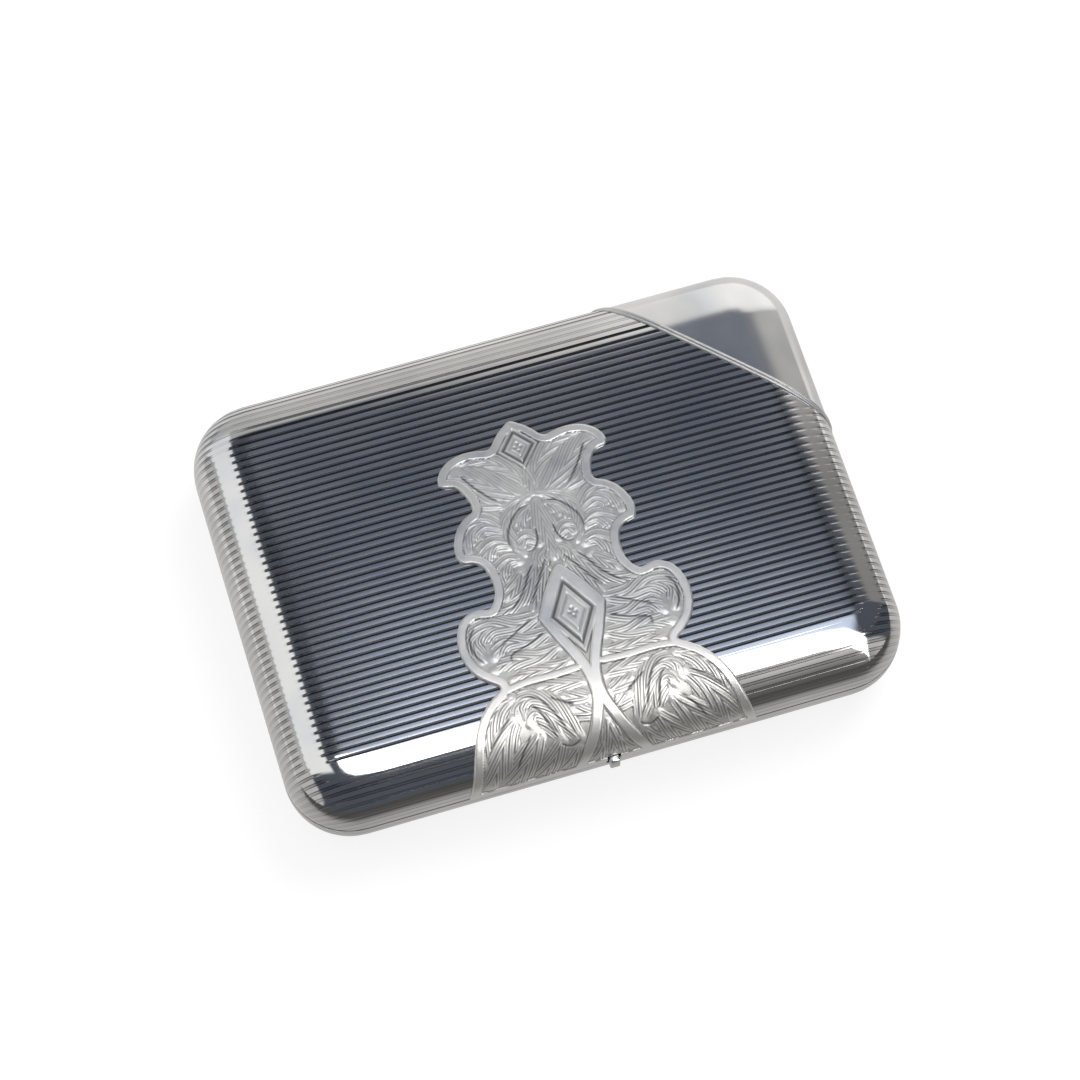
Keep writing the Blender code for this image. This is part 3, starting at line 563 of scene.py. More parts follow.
def worn_share(die, sheet_y, rim_length):
    """How far the ribs are worn down at a place of the sheet."""
    past_core = max(0.0, abs(sheet_y) - die.core_y)
    long_side = min(1.0, past_core / (rim_length + die.core_radius))
    leans = WORN_LEANS_END
    if sheet_y < 0:
        leans = [end + (front - end) * long_side
                 for end, front in zip(WORN_LEANS_END, WORN_LEANS_FRONT)]
    worn = np.interp(die.rim.at(rim_length)[2], leans, WORN_SHARES)
    return worn * (1 + (BACK_WEAR - 1) * long_side) if sheet_y > 0 else worn


def pressed_sheet(die, rows, columns):
    """The sheet pressed over the die, open at the seam, with its smooth place kept beside."""
    across = columns + 2 * END_STEPS
    bm = bmesh.new()
    bmesh.ops.create_grid(bm, x_segments=across, y_segments=len(rows) - 1, size=1.0)
    smooth_place = bm.verts.layers.float_vector.new("smooth_place")
    groove = bm.verts.layers.float.new("groove")
    bm.verts.layers.float.new("plain")
    for vert in bm.verts:
        column = round((vert.co.x + 1) / 2 * across)
        sheet_y, rise, depth = rows[round((vert.co.y + 1) / 2 * (len(rows) - 1))]
        start, turn = die.row_start(sheet_y)
        straight = END_STEPS < column < END_STEPS + columns
        end_side = -1 if column <= END_STEPS else 1
        step = END_STEPS - column if end_side < 0 else column - END_STEPS - columns
        rim_length = start + (die.rim.length - start) * step / END_STEPS
        if straight:
            rim_length = max(0.0, abs(sheet_y) - die.flat_y)
        kept = 1 - worn_share(die, sheet_y, rim_length)
        if straight:
            reach = die.core_x + die.core_radius * math.cos(turn)
            x = reach * (2 * (column - END_STEPS) / columns - 1)
            vert.co = die.straight(x, sheet_y, rise * kept)
            vert[smooth_place] = die.straight(x, sheet_y)
        else:
            vert.co = die.end(end_side, sheet_y, rim_length, rise * kept)
            vert[smooth_place] = die.end(end_side, sheet_y, rim_length)
        vert[groove] = min(1.0, depth * kept)
    bmesh.ops.remove_doubles(bm, verts=bm.verts, dist=WELD)
    return bm


def divide(bm, place, normal):
    """Divide every face that a plane goes through."""
    bmesh.ops.bisect_plane(bm, geom=bm.verts[:] + bm.edges[:] + bm.faces[:], dist=WELD,
                           plane_co=place, plane_no=normal)


def iron_corner(bm):
    """Press the ribs flat beyond the border line, so that the back right corner is plain."""
    smooth_place = bm.verts.layers.float_vector["smooth_place"]
    groove = bm.verts.layers.float["groove"]
    plain = bm.verts.layers.float["plain"]
    across = Vector((1, 1, 0)).normalized()
    for share in BORDER_CUT_SHARES:
        divide(bm, across * (BORDER_DISTANCE + share * BORDER_WIDTH), across)
    for vert in bm.verts:
        if vert.co.dot(across) > BORDER_DISTANCE:
            vert.co = vert[smooth_place]
            vert[groove] = 0.0
            vert[plain] = 1.0


def block(low, high):
    bm = bmesh.new()
    bmesh.ops.create_cube(bm, size=1.0)
    bmesh.ops.scale(bm, vec=Vector(high) - Vector(low), verts=bm.verts)
    bmesh.ops.translate(bm, vec=(Vector(low) + Vector(high)) / 2, verts=bm.verts)
    return mesh_from(bm, "cutter")


def turned(profile, node, steps):
    """A body turned about a node's own line along X; profile is (along, radius)."""
    low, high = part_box(node)
    centre = Vector((0, (low.y + high.y) / 2, (low.z + high.z) / 2))
    bm = bmesh.new()
    loop = [bm.verts.new((along, 0.0, radius)) for along, radius in profile]
    edges = [bm.edges.new((loop[i], loop[(i + 1) % len(loop)])) for i in range(len(loop))]
    bmesh.ops.spin(bm, geom=loop + edges, cent=(0, 0, 0), axis=(1, 0, 0), angle=2 * math.pi,
                   steps=steps, use_merge=True)
    bmesh.ops.remove_doubles(bm, verts=bm.verts, dist=WELD)
    bmesh.ops.recalc_face_normals(bm, faces=bm.faces)
    bmesh.ops.translate(bm, vec=centre, verts=bm.verts)
    return bm


def cut_away(mesh, cutters):
    """The mesh with each cutter's shape taken out of it."""
    body = bpy.data.objects.new("being_cut", mesh)
    bpy.context.scene.collection.objects.link(body)
    tools = []
    for cutter in cutters:
        tool = bpy.data.objects.new("cutting_tool", cutter)
        bpy.context.scene.collection.objects.link(tool)
        step = body.modifiers.new("Cut", "BOOLEAN")
        step.operation = "DIFFERENCE"
        step.solver = "EXACT"
        step.object = tool
        tools.append(tool)
    evaluated = body.evaluated_get(bpy.context.evaluated_depsgraph_get())
    result = bpy.data.meshes.new_from_object(evaluated)
    for thing in tools + [body]:
        bpy.data.objects.remove(thing)
    # Clearing the empty slots would also forget which faces are lining
    kinds = np.zeros(len(result.polygons), np.int32)
    result.polygons.foreach_get("material_index", kinds)
    result.materials.clear()
    result.polygons.foreach_set("material_index", kinds)
    return result


def hinge_bed():
    """The round bed that both shells leave for the hinge."""
    low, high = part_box("hinge_knuckle_1")
    radius = (high.z - low.z) / 2 + SEAT_GAP
    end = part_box("hinge_pin")[1].x + SEAT_GAP
    profile = ((-end, 0.0), (-end, radius), (end, radius), (end, 0.0))
    return mesh_from(turned(profile, "hinge_pin", PIN_STEPS), "hinge_bed")


def button_window():
    """The window that the push-piece slides in."""
    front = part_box("push_button")[0].y
    half_width = STEM_HALF_WIDTH + SEAT_GAP
    head = HEAD_HALF_HEIGHT + SEAT_GAP
    return block((-half_width, front - WALL, SEAM_HEIGHT - head),
                 (half_width, base_low.y + 2 * WALL, SEAM_HEIGHT + head))


def shell_mesh(upright, reeding):
    """One half of the case: reeded outside, plain gilt inside, a flat edge at the seam."""
    die = Die(0.0, LID_CROWN if upright else 0.0)
    bm = pressed_sheet(die, reed_rows(die, reeding),
                       CROWNED_COLUMNS if upright else LEVEL_COLUMNS)
    if upright:
        iron_corner(bm)
    bmesh.ops.recalc_face_normals(bm, faces=bm.faces)
    inside = Die(WALL, 0.0)
    lining = pressed_sheet(inside, smooth_rows(inside), LEVEL_COLUMNS)
    bmesh.ops.recalc_face_normals(lining, faces=lining.faces)
    bmesh.ops.reverse_faces(lining, faces=lining.faces)
    for face in lining.faces:
        face.material_index = 1
    lining_mesh = mesh_from(lining, "lining")
    bm.from_mesh(lining_mesh)
    bpy.data.meshes.remove(lining_mesh)
    edges = [edge for edge in bm.edges if edge.is_boundary]
    bmesh.ops.triangle_fill(bm, edges=edges, use_beauty=False, use_dissolve=False,
                            normal=(0, 0, -1))
    bmesh.ops.recalc_face_normals(bm, faces=bm.faces)
    mesh = mesh_from(bm, "shell")
    seat(mesh, upright)
    return cut_away(mesh, [hinge_bed(), button_window()])


def wire(node, inputs):
    """Give a node's inputs their values or their links."""
    for socket, value in inputs.items():
        if isinstance(value, bpy.types.NodeSocket):
            node.id_data.links.new(value, node.inputs[socket])
        else:
            node.inputs[socket].default_value = value


def add_node(tree, kind, inputs=None, out=0, **settings):
    """Add a node with its settings and inputs, and give back one of its outputs."""
    node = tree.nodes.new("ShaderNode" + kind)
    for name, value in settings.items():
        setattr(node, name, value)
    wire(node, inputs or {})
    return node.outputs[out] if node.outputs else None


def opaque(colour, shade=1.0):
    """A colour with its alpha, dimmed by one shade or by a shade for each part."""
    return (*(np.array(colour[:]) * shade), 1.0)


def blend_in(tree, share, under, over):
    """One colour laid over another by a share."""
    return add_node(tree, "Mix", {0: share, 6: under, 7: over}, out=2, data_type="RGBA")


def colour_ramp(tree, value, stops):
    """Colours along a value from 0 to 1, each stop as (value, colour)."""
    ramp = add_node(tree, "ValToRGB", {"Fac": value})
    elements = ramp.node.color_ramp.elements
    elements.remove(elements[1])
    for number, (place, colour) in enumerate(stops):
        stop = elements[0] if number == 0 else elements.new(place)
        stop.position = place
        stop.color = colour
    return ramp


def new_material(name):
    """A material with its tree, its shader, and its object's own coordinates."""
    material = bpy.data.materials.new(name)
    material.use_nodes = True
    tree = material.node_tree
    return material, tree, tree.nodes["Principled BSDF"], add_node(tree, "TexCoord", out="Object")


def attribute(tree, name):
    """A share that the mesh carries."""
    return add_node(tree, "Attribute", out="Fac", attribute_name=name)


def tarnish(tree, place, colour, finish_scale):
    """Silver with a thin uneven film: cooler and warmer clouds, a few centimetres across."""
    clouds = add_node(tree, "TexNoise", {"Vector": place, "Scale": finish_scale, "Detail": 3.0,
                                         "Roughness": 0.6})
    return colour_ramp(tree, clouds, ((0.30, opaque(colour, (0.68, 0.71, 0.76))),
                                      (0.50, opaque(colour, (0.87, 0.88, 0.89))),
                                      (0.68, opaque(colour))))


def fine_grain(tree, place, scale, detail):
    """Uneven grain, drawn out by its scale along each axis: grains to the metre."""
    drawn = add_node(tree, "Mapping", {"Vector": place, "Scale": scale})
    return add_node(tree, "TexNoise", {"Vector": drawn, "Scale": 1.0, "Detail": detail})


def burnished_silver(finish):
    """Sterling silver, reeded and burnished: a clear mirror on the lands, fine lengthwise
    polishing marks, a thin tarnish in clouds, and dark dull oxide down in the grooves, with
    painted shade darkening their walls."""
    material, tree, shader, place = new_material("burnished_silver")
    groove = attribute(tree, "groove")
    silver = tarnish(tree, place, finish.silver, 38.0)
    # The plain corner is worn satin where the hand holds it
    satin = add_node(tree, "MapRange", {"Value": attribute(tree, "plain"), "To Min": 0.07,
                                        "To Max": 0.14})
    # Polishing marks run along the case: 0.1 mm across and some 8 mm long
    marks = fine_grain(tree, place, (120.0, 9000.0, 9000.0), 2.0)
    wire(shader, {
        "Metallic": 1.0,
        # Oxide in the grooves, and painted shade on their walls
        "Base Color": blend_in(tree, groove, silver, opaque(finish.oxide)),
        "Roughness": add_node(tree, "MapRange", {"Value": groove, "To Min": satin,
                                                 "To Max": 0.22}),
        "Normal": add_node(tree, "Bump", {"Height": marks, "Strength": 0.03,
                                          "Distance": 0.02 * MM})})
    return material


def plain_silver(finish):
    """Polished silver wire and sheet: hinge, push-piece, catch and spring posts."""
    material, tree, shader, place = new_material("polished_silver")
    # Handling scratches about 0.05 mm across, drawn a little coarser than they are
    scratches = fine_grain(tree, place, (4000.0, 4000.0, 4000.0), 3.0)
    wire(shader, {
        "Metallic": 1.0, "Base Color": tarnish(tree, place, finish.silver, 120.0),
        "Roughness": 0.26,
        "Normal": add_node(tree, "Bump", {"Height": scratches, "Strength": 0.08,
                                          "Distance": 0.02 * MM})})
    return material


def chased_silver(finish):
    """Chased silver gone grey: frosted by the matting punch, so that part of the light comes
    back soft, with burnished strands, dark creases between them and oxide in the hollows."""
    material, tree, shader, place = new_material("chased_silver")
    hollow = attribute(tree, "hollow")
    # Two fine lines to each strand: one in the crease, one along the top
    turn = add_node(tree, "Math", {0: attribute(tree, "vein"), 1: 4 * math.pi},
                    operation="MULTIPLY")
    wave = add_node(tree, "Math", {0: turn}, operation="COSINE")
    line = add_node(tree, "MapRange", {"Value": wave, "From Min": -0.9, "From Max": 0.6,
                                       "To Min": 1.0, "To Max": 0.0},
                    interpolation_type="SMOOTHSTEP")
    cut = both(tree, line, attribute(tree, "vein_depth"))
    # A grey film; low down, over the front rim, the colour is painted brighter and warmer, a
    # painted highlight
    film = tarnish(tree, place, np.array(finish.silver[:]) * 0.75, 160.0)
    painted_low_highlight = add_node(tree, "MapRange", {"Value": flat_part(tree, place, 0.0, 1.0),
                                         "From Min": -20 * MM, "From Max": -30 * MM})
    silver = blend_in(tree, painted_low_highlight, film, opaque(finish.silver, (1.0, 0.98, 0.95)))
    low = add_node(tree, "Math", {0: cut, 1: 0.40, 2: hollow}, operation="MULTIPLY_ADD")
    shade = add_node(tree, "MapRange", {"Value": low, "From Min": 0.1, "From Max": 1.1,
                                        "To Max": 0.88}, interpolation_type="SMOOTHSTEP")
    # Matting punch marks 0.12 mm apart, under the engraved lines
    punch = add_node(tree, "TexVoronoi", {"Vector": place, "Scale": 8000.0})
    matting = add_node(tree, "Bump", {"Height": punch, "Strength": 0.12, "Distance": 0.03 * MM})
    wire(shader, {
        "Metallic": 0.7,
        "Base Color": blend_in(tree, shade, silver, opaque(finish.oxide)),
        "Roughness": add_node(tree, "MapRange", {"Value": hollow, "To Min": 0.28,
                                                 "To Max": 0.42}),
        "Normal": add_node(tree, "Bump", {"Height": cut, "Strength": 1.0,
                                          "Distance": 0.025 * MM, "Normal": matting},
                           invert=True)})
    return material


def brushed_gilt(finish):
    """Fire-gilt silver inside: warm, satin, with a fine brushed line and thin wear."""
    material, tree, shader, place = new_material("fire_gilt_silver")
    wear = add_node(tree, "TexNoise", {"Vector": place, "Scale": 70.0, "Detail": 5.0})
    thin = add_node(tree, "MapRange", {"Value": wear, "From Min": 0.55, "From Max": 0.85,
                                       "To Max": 0.35})
    # Brush lines along the case, about 0.1 mm apart
    lines = fine_grain(tree, place, (80.0, 9000.0, 9000.0), 3.0)
    wire(shader, {
        "Metallic": 1.0,
        "Base Color": blend_in(tree, thin, opaque(finish.gilt), opaque(finish.silver)),
        "Roughness": add_node(tree, "MapRange", {"Value": lines, "To Min": 0.22,
                                                 "To Max": 0.38}),
        "Normal": add_node(tree, "Bump", {"Height": lines, "Strength": 0.12,
                                          "Distance": 0.02 * MM})})
    return material


def blued_steel(finish):
    """Cold-rolled spring steel, lightly blued: grey with rolling lines along its length."""
    material, tree, shader, place = new_material("spring_steel")
    lines = fine_grain(tree, place, (200.0, 200.0, 12000.0), 3.0)
    wire(shader, {
        "Metallic": 1.0,
        "Base Color": colour_ramp(tree, lines, ((0.0, opaque(finish.steel, 0.6)),
                                                (1.0, opaque(finish.steel)))),
        "Roughness": add_node(tree, "MapRange", {"Value": lines, "To Min": 0.25,
                                                 "To Max": 0.45})})
    return material


def woven_elastic(finish):
    """Cotton-covered elastic: fine cross threads 0.35 mm apart over the rubber cords."""
    material, tree, shader, place = new_material("woven_elastic")
    threads = add_node(tree, "TexWave", {"Vector": place, "Scale": 450.0, "Distortion": 1.2,
                                         "Detail": 2.0}, out="Fac", bands_direction="X")
    fuzz = add_node(tree, "TexNoise", {"Vector": place, "Scale": 2500.0, "Detail": 3.0})
    height = both(tree, threads, fuzz)
    wire(shader, {
        # Darker where the weave is low: painted shade between the threads
        "Base Color": colour_ramp(tree, height, ((0.0, opaque(finish.elastic, 0.55)),
                                                 (0.6, opaque(finish.elastic)))),
        "Roughness": 0.85, "Sheen Weight": 0.25,
        "Normal": add_node(tree, "Bump", {"Height": height, "Strength": 0.5,
                                          "Distance": 0.08 * MM})})
    return material


METALS = {}


def finish_of(name):
    """A finish by its name, made the first time that a piece asks for it."""
    makers = {"burnished": burnished_silver, "plain": plain_silver, "chased": chased_silver,
              "gilt": brushed_gilt, "steel": blued_steel, "elastic": woven_elastic}
    if name not in METALS:
        METALS[name] = makers[name](bpy.context.scene.case_finish)
    return METALS[name]


def smooth_run(points, steps):
    """A smooth line through the points of one run, ends kept, by a cardinal spline."""
    padded = [points[0]] + list(points) + [points[-1]]
    line = []
    for i in range(1, len(padded) - 2):
        before, start, end, after = [Vector(p) for p in padded[i - 1:i + 3]]
        for step in range(steps):
            t = step / steps
            line.append(0.5 * (2 * start + (end - before) * t
                               + (2 * before - 5 * start + 4 * end - after) * t ** 2
                               + (3 * start - before - 3 * end + after) * t ** 3))
    line.append(Vector(points[-1]))
    return line


def drawn_line(points):
    """The smooth line through some points, as an array."""
    return np.array([tuple(place) for place in smooth_run(points, LINE_STEPS)])


def plate_outline(half_sheet):
    """Both halves of the cartouche's outline on the flat sheet, round from the tip."""
    length = PLATE_TOP + half_sheet
    half_width = plate_high.x
    right = []
    for run in PLATE_OUTLINE_SHARES:
        for share in smooth_run(run, OUTLINE_STEPS)[:-1]:
            right.append((share.x * half_width, share.y * length - half_sheet))
    right.append((half_width, -half_sheet))
    left = [(-x, y) for x, y in reversed(right[1:])]
    return blunted(np.array(right + left))


def blunted(outline):
    """The outline walked in even steps, with its points and notches a little rounded."""
    closed = np.vstack((outline, outline[:1]))
    lengths = np.concatenate(([0.0], np.cumsum(np.hypot(*np.diff(closed, axis=0).T))))
    count = int(lengths[-1] / OUTLINE_STEP)
    places = np.arange(count) * lengths[-1] / count
    walked = np.column_stack([np.interp(places, lengths, closed[:, axis]) for axis in (0, 1)])
    bottom = outline[:, 1].min()
    for _ in range(OUTLINE_ROUNDS):
        inner = walked[:, 1] > bottom + 2 * OUTLINE_STEP
        middle = (np.roll(walked, 1, axis=0) + np.roll(walked, -1, axis=0)) / 2
        walked[inner] = (walked[inner] + middle[inner]) / 2
    return walked


def inside_outline(points, outline):
    """Whether each point lies inside the closed outline."""
    inside = np.zeros(len(points), bool)
    for (ax, ay), (bx, by) in zip(outline, np.roll(outline, -1, axis=0)):
        if ay == by:
            continue
        crosses = (points[:, 1] < ay) != (points[:, 1] < by)
        at = ax + (points[:, 1] - ay) * (bx - ax) / (by - ay)
        inside ^= crosses & (points[:, 0] < at)
    return inside


def line_distance(points, line):
    """For each point: distance to a drawn line, share along it, and the nearest place."""
    starts = line[:-1]
    ends = line[1:]
    lengths = np.hypot(*(ends - starts).T)
    before = np.concatenate(([0.0], np.cumsum(lengths)))
    best = np.full(len(points), np.inf)
    share = np.zeros(len(points))
    nearest = np.zeros((len(points), 2))
    for i, (start, end) in enumerate(zip(starts, ends)):
        if lengths[i] == 0:
            continue
        along = np.clip((points - start) @ (end - start) / lengths[i] ** 2, 0, 1)
        place = start + along[:, None] * (end - start)
        distance = np.hypot(*(points - place).T)
        closer = distance < best
        best[closer] = distance[closer]
        nearest[closer] = place[closer]
        share[closer] = (before[i] + along[closer] * lengths[i]) / before[-1]
    return best, share, nearest


def soft_step(value, low, high):
    part = np.clip((value - low) / (high - low), 0, 1)
    return part * part * (3 - 2 * part)


def leaf_relief(points, leaf):
    """A leaf as a rounded ridge, 0 to 1, with its barbs counted along it and how strongly they
    stand out there."""
    middle, root, body, tip = leaf
    root, body, tip = [LEAF_SPREAD * width for width in (root, body, tip)]
    line = drawn_line(middle)
    low = line.min(0) - body
    high = line.max(0) + body
    near = np.flatnonzero(np.all((points > low) & (points < high), axis=1))
    relief = np.zeros((len(points), 3))
    if len(near) == 0:
        return relief
    distance, share, _ = line_distance(points[near], line)
    along = share * np.hypot(*np.diff(line, axis=0).T).sum()
    rise = soft_step(share, 0, SWELLED_AT)
    fall = soft_step(share, NARROWS_FROM, 1)
    width = (root + (body - root) * rise + (tip - body) * fall) / 2
    barb = (along * math.sin(BARB_TURN) - distance * math.cos(BARB_TURN)) / BARB_PITCH
    outer = (along * math.sin(BARB_TURN) - width * math.cos(BARB_TURN)) / BARB_PITCH
    width *= 1 + BARB_REACH * np.cos(2 * np.pi * outer)
    across = np.clip(distance / width, 0, 1)
    ridge = (1 - across ** 2) * (ROOT_HEIGHT + BODY_GAIN * rise - TIP_LOSS * fall)
    if body > RIBBED_FROM * LEAF_SPREAD:
        ridge -= MIDRIB_CUT * np.exp(-(distance / MIDRIB_HALF_WIDTH) ** 2) * (1 - fall)
    relief[near, 0] = np.maximum(ridge, 0)
    relief[near, 1] = barb
    relief[near, 2] = soft_step(share, 0, BARBS_FROM) * (1 - soft_step(share, BARBS_TO, 1))
    return relief


def lozenge_scale(points, lozenge):
    """Size of the lozenge through each point, and what a change of one comes to across it."""
    (x, y), (across, up) = lozenge
    scale = np.abs(points[:, 0] - x) / across + np.abs(points[:, 1] - y) / up
    return scale, across * up / math.hypot(across, up)


def chased_height(points, edge_distance, chasing):
    """The chased surface for points in mm on the unrolled right half and their distance from
    the outline: height over the ribs, hollowness, place among the veins and their depth."""
    ground = chasing.ground_rise / MM
    border = chasing.border_rise / MM
    leaf_rise = chasing.leaf_rise / MM
    width = chasing.border_width / MM
    relief = np.zeros((len(points), 3))
    # Where leaves overlap, the higher one is seen
    for leaf in LEAVES:
        other = leaf_relief(points, leaf)
        higher = other[:, 0] > relief[:, 0]
        relief[higher] = other[higher]
    level = 1 - soft_step(edge_distance - width, *BORDER_SLOPE)
    for middle, half_width in BANDS:
        distance, _, _ = line_distance(points, drawn_line(middle))
        level = np.maximum(level, 1 - soft_step(distance - half_width, *BAND_SLOPE))
    for lozenge in LOZENGES:
        scale, unit = lozenge_scale(points, lozenge)
        past_ground = (scale - LOZENGE_GROUND) * unit
        level = np.maximum(level, 1 - soft_step(past_ground, *LOZENGE_SLOPE))
    # The lower leaves are cut deeper than the upper ones
    deep = soft_step(-points[:, 1], 0, DEEP_FROM)
    relief[:, 2] *= UPPER_STRANDS + (1 - UPPER_STRANDS) * deep
    strands = np.cos(2 * np.pi * relief[:, 1]) * relief[:, 2]
    strands *= soft_step(relief[:, 0], 0, STRAND_FROM)
    leaf = ground + leaf_rise * relief[:, 0] + chasing.strand_rise / MM * strands
    height = leaf * (1 - level) + border * level
    # A line is cut along the inner side of every plain band, and round the main scrolls
    cut = np.exp(-((level - BAND_CUT_LEVEL) / BAND_CUT_SPREAD) ** 2)
    for middle in CUTS:
        distance, share, _ = line_distance(points, drawn_line(middle))
        ends = soft_step(share, 0, CUT_START) * soft_step(1 - share, 0, CUT_END)
        scroll = np.exp(-(distance / CUT_HALF_WIDTH) ** 2) * ends * (1 - level)
        cut = np.maximum(cut, scroll)
    height -= CUT_DEPTH * cut
    low_ground = GROUND_HOLLOW * (1 - level) * soft_step(LOW_LEAF - relief[:, 0], 0, LOW_LEAF)
    hollow = np.maximum(CUT_HOLLOW * cut, low_ground)
    for lozenge in LOZENGES:
        scale, unit = lozenge_scale(points, lozenge)
        groove = np.exp(-((scale - 1) * unit / LOZENGE_HALF_WIDTH) ** 2)
        inner = np.exp(-((scale - PANEL_SCALE) * unit / PANEL_HALF_WIDTH) ** 2)
        height -= LOZENGE_DEPTH * groove + PANEL_DEPTH * inner
        # A quatrefoil is sunk in the panel's middle
        (x, y), _ = lozenge
        petal_x = np.abs(points[:, 0] - x)
        petal_y = np.abs(points[:, 1] - y)
        petal = np.minimum(np.hypot(petal_x - PETAL_ACROSS, petal_y),
                           np.hypot(petal_x, petal_y - PETAL_UP))
        mark = 1 - soft_step(petal, *PETAL_EDGE)
        height -= QUATREFOIL_DEPTH * mark
        panel = PANEL_HOLLOW * np.maximum(inner, mark)
        hollow = np.maximum(hollow, np.maximum(groove, panel))
    # The edge of the plate is rounded over
    over = np.clip(1 - edge_distance / EDGE_WIDTH, 0, 1)
    height -= EDGE_FALL * (1 - np.sqrt(1 - over ** 2 * EDGE_FULLNESS))
    hollow *= soft_step(edge_distance, *CLEAN_EDGE)
    return height, np.clip(hollow, 0, 1), relief[:, 1], relief[:, 2] * (1 - level)


def chased_plate(chasing):
    """The cartouche: cut from the sheet, chased, let in and bent over the front rim."""
    die = Die(0.0, LID_CROWN)
    outline = plate_outline(die.half_sheet)
    closed = np.vstack((outline, outline[:1]))
    bm = plate_cells(outline, closed, chasing.cell)
    layers = [bm.verts.layers.float.new(name) for name in ("hollow", "vein", "vein_depth")]
    tops = list(bm.verts)
    places = np.array([vert.co[:2] for vert in tops])
    edge_distance, _, _ = line_distance(places, closed)
    # Both halves are chased alike
    right_half = np.column_stack((np.abs(places[:, 0]), places[:, 1])) / MM
    heights, *shares = chased_height(right_half, edge_distance / MM, chasing)
    edges = [edge for edge in bm.edges if edge.is_boundary]
    skirt = bmesh.ops.extrude_edge_only(bm, edges=edges)
    for item in skirt["geom"]:
        if isinstance(item, bmesh.types.BMVert):
            item.co.z = -chasing.sink
    for vert, height, *values in zip(tops, heights, *shares):
        vert.co.z = height * MM
        for layer, value in zip(layers, values):
            vert[layer] = value
    close_under(bm, die)
    for vert in bm.verts:
        vert.co = die.straight(vert.co.x, vert.co.y, vert.co.z)
    bmesh.ops.recalc_face_normals(bm, faces=bm.faces)
    mesh = mesh_from(bm, "cartouche")
    seat(mesh, True)
    return cut_away(mesh, [button_window()])


def plate_cells(outline, closed, cell):
    """The flat plate as small square cells, its outer ones drawn to the outline."""
    low = outline.min(0)
    high = outline.max(0)
    counts = [int(round(size / cell)) for size in high - low]
    bm = bmesh.new()
    bmesh.ops.create_grid(bm, x_segments=counts[0], y_segments=counts[1], size=0.5)
    bmesh.ops.scale(bm, vec=(*(high - low), 1), verts=bm.verts)
    bmesh.ops.translate(bm, vec=(*((low + high) / 2), 0), verts=bm.verts)
    middles = np.array([face.calc_center_median()[:2] for face in bm.faces])
    kept = inside_outline(middles, outline)
    outside = [face for face, keep in zip(bm.faces, kept) if not keep]
    bmesh.ops.delete(bm, geom=outside, context="FACES")
    unpinch(bm)
    rim_verts = [vert for vert in bm.verts if vert.is_boundary]
    _, _, places = line_distance(np.array([vert.co[:2] for vert in rim_verts]), closed)
    for vert, place in zip(rim_verts, places):
        vert.co.x, vert.co.y = place
    on_rim = set(rim_verts)
    beside = [vert for vert in bm.verts if vert not in on_rim
              and any(edge.other_vert(vert) in on_rim for edge in vert.link_edges)]
    for _ in range(SMOOTH_ROUNDS):
        bmesh.ops.smooth_vert(bm, verts=beside, factor=0.5, use_axis_x=True, use_axis_y=True,
                              use_axis_z=False)
    return bm


def unpinch(bm):
    """Take off cells that touch the rest in one corner only."""
    pinched = True
    while pinched:
        pinched = [vert for vert in bm.verts
                   if sum(edge.is_boundary for edge in vert.link_edges) > 2]
        faces = {max(vert.link_faces, key=lambda face: sum(
            edge.is_boundary for edge in face.edges)) for vert in pinched}
        if faces:
            bmesh.ops.delete(bm, geom=list(faces), context="FACES")


def close_under(bm, die):
    """Close the plate's underside with a sheet that can follow the bend."""
    edges = [edge for edge in bm.edges if edge.is_boundary]
    made = bmesh.ops.triangle_fill(bm, edges=edges, use_beauty=True, use_dissolve=False,
                                   normal=(0, 0, -1))
    faces = [item for item in made["geom"] if isinstance(item, bmesh.types.BMFace)]
    bends = [-die.flat_y - die.rim.length * step / UNDER_RIM_STEPS
             for step in range(UNDER_RIM_STEPS)]
    bends += [PLATE_TOP - (PLATE_TOP + die.flat_y) * step / UNDER_FIELD_STEPS
              for step in range(1, UNDER_FIELD_STEPS)]
    for bend in bends:
        geom = set(faces)
        for face in faces:
            geom.update(face.verts)
            geom.update(face.edges)
        cut = bmesh.ops.bisect_plane(bm, geom=list(geom), dist=WELD, plane_co=(0, bend, 0),
                                     plane_no=(0, 1, 0))
        faces = [item for item in cut["geom"] if isinstance(item, bmesh.types.BMFace)]


def swept(stops, section):
    """A closed body swept through stops of (place, side, up), its section as (side, up)."""
    bm = bmesh.new()
    ring = None
    for place, side, up in stops:
        corners = [place + side * across + up * rise for across, rise in section]
        if ring is None:
            ring = bm.faces.new([bm.verts.new(corner) for corner in corners])
            continue
        ring = bmesh.ops.extrude_discrete_faces(bm, faces=[ring])["faces"][0]
        for vert, corner in zip(ring.verts, corners):
            vert.co = corner
    bmesh.ops.remove_doubles(bm, verts=bm.verts, dist=WELD)
    open_edges = [edge for edge in bm.edges if edge.is_boundary]
    if open_edges:
        bmesh.ops.contextual_create(bm, geom=open_edges)
    bmesh.ops.recalc_face_normals(bm, faces=bm.faces)
    return bm


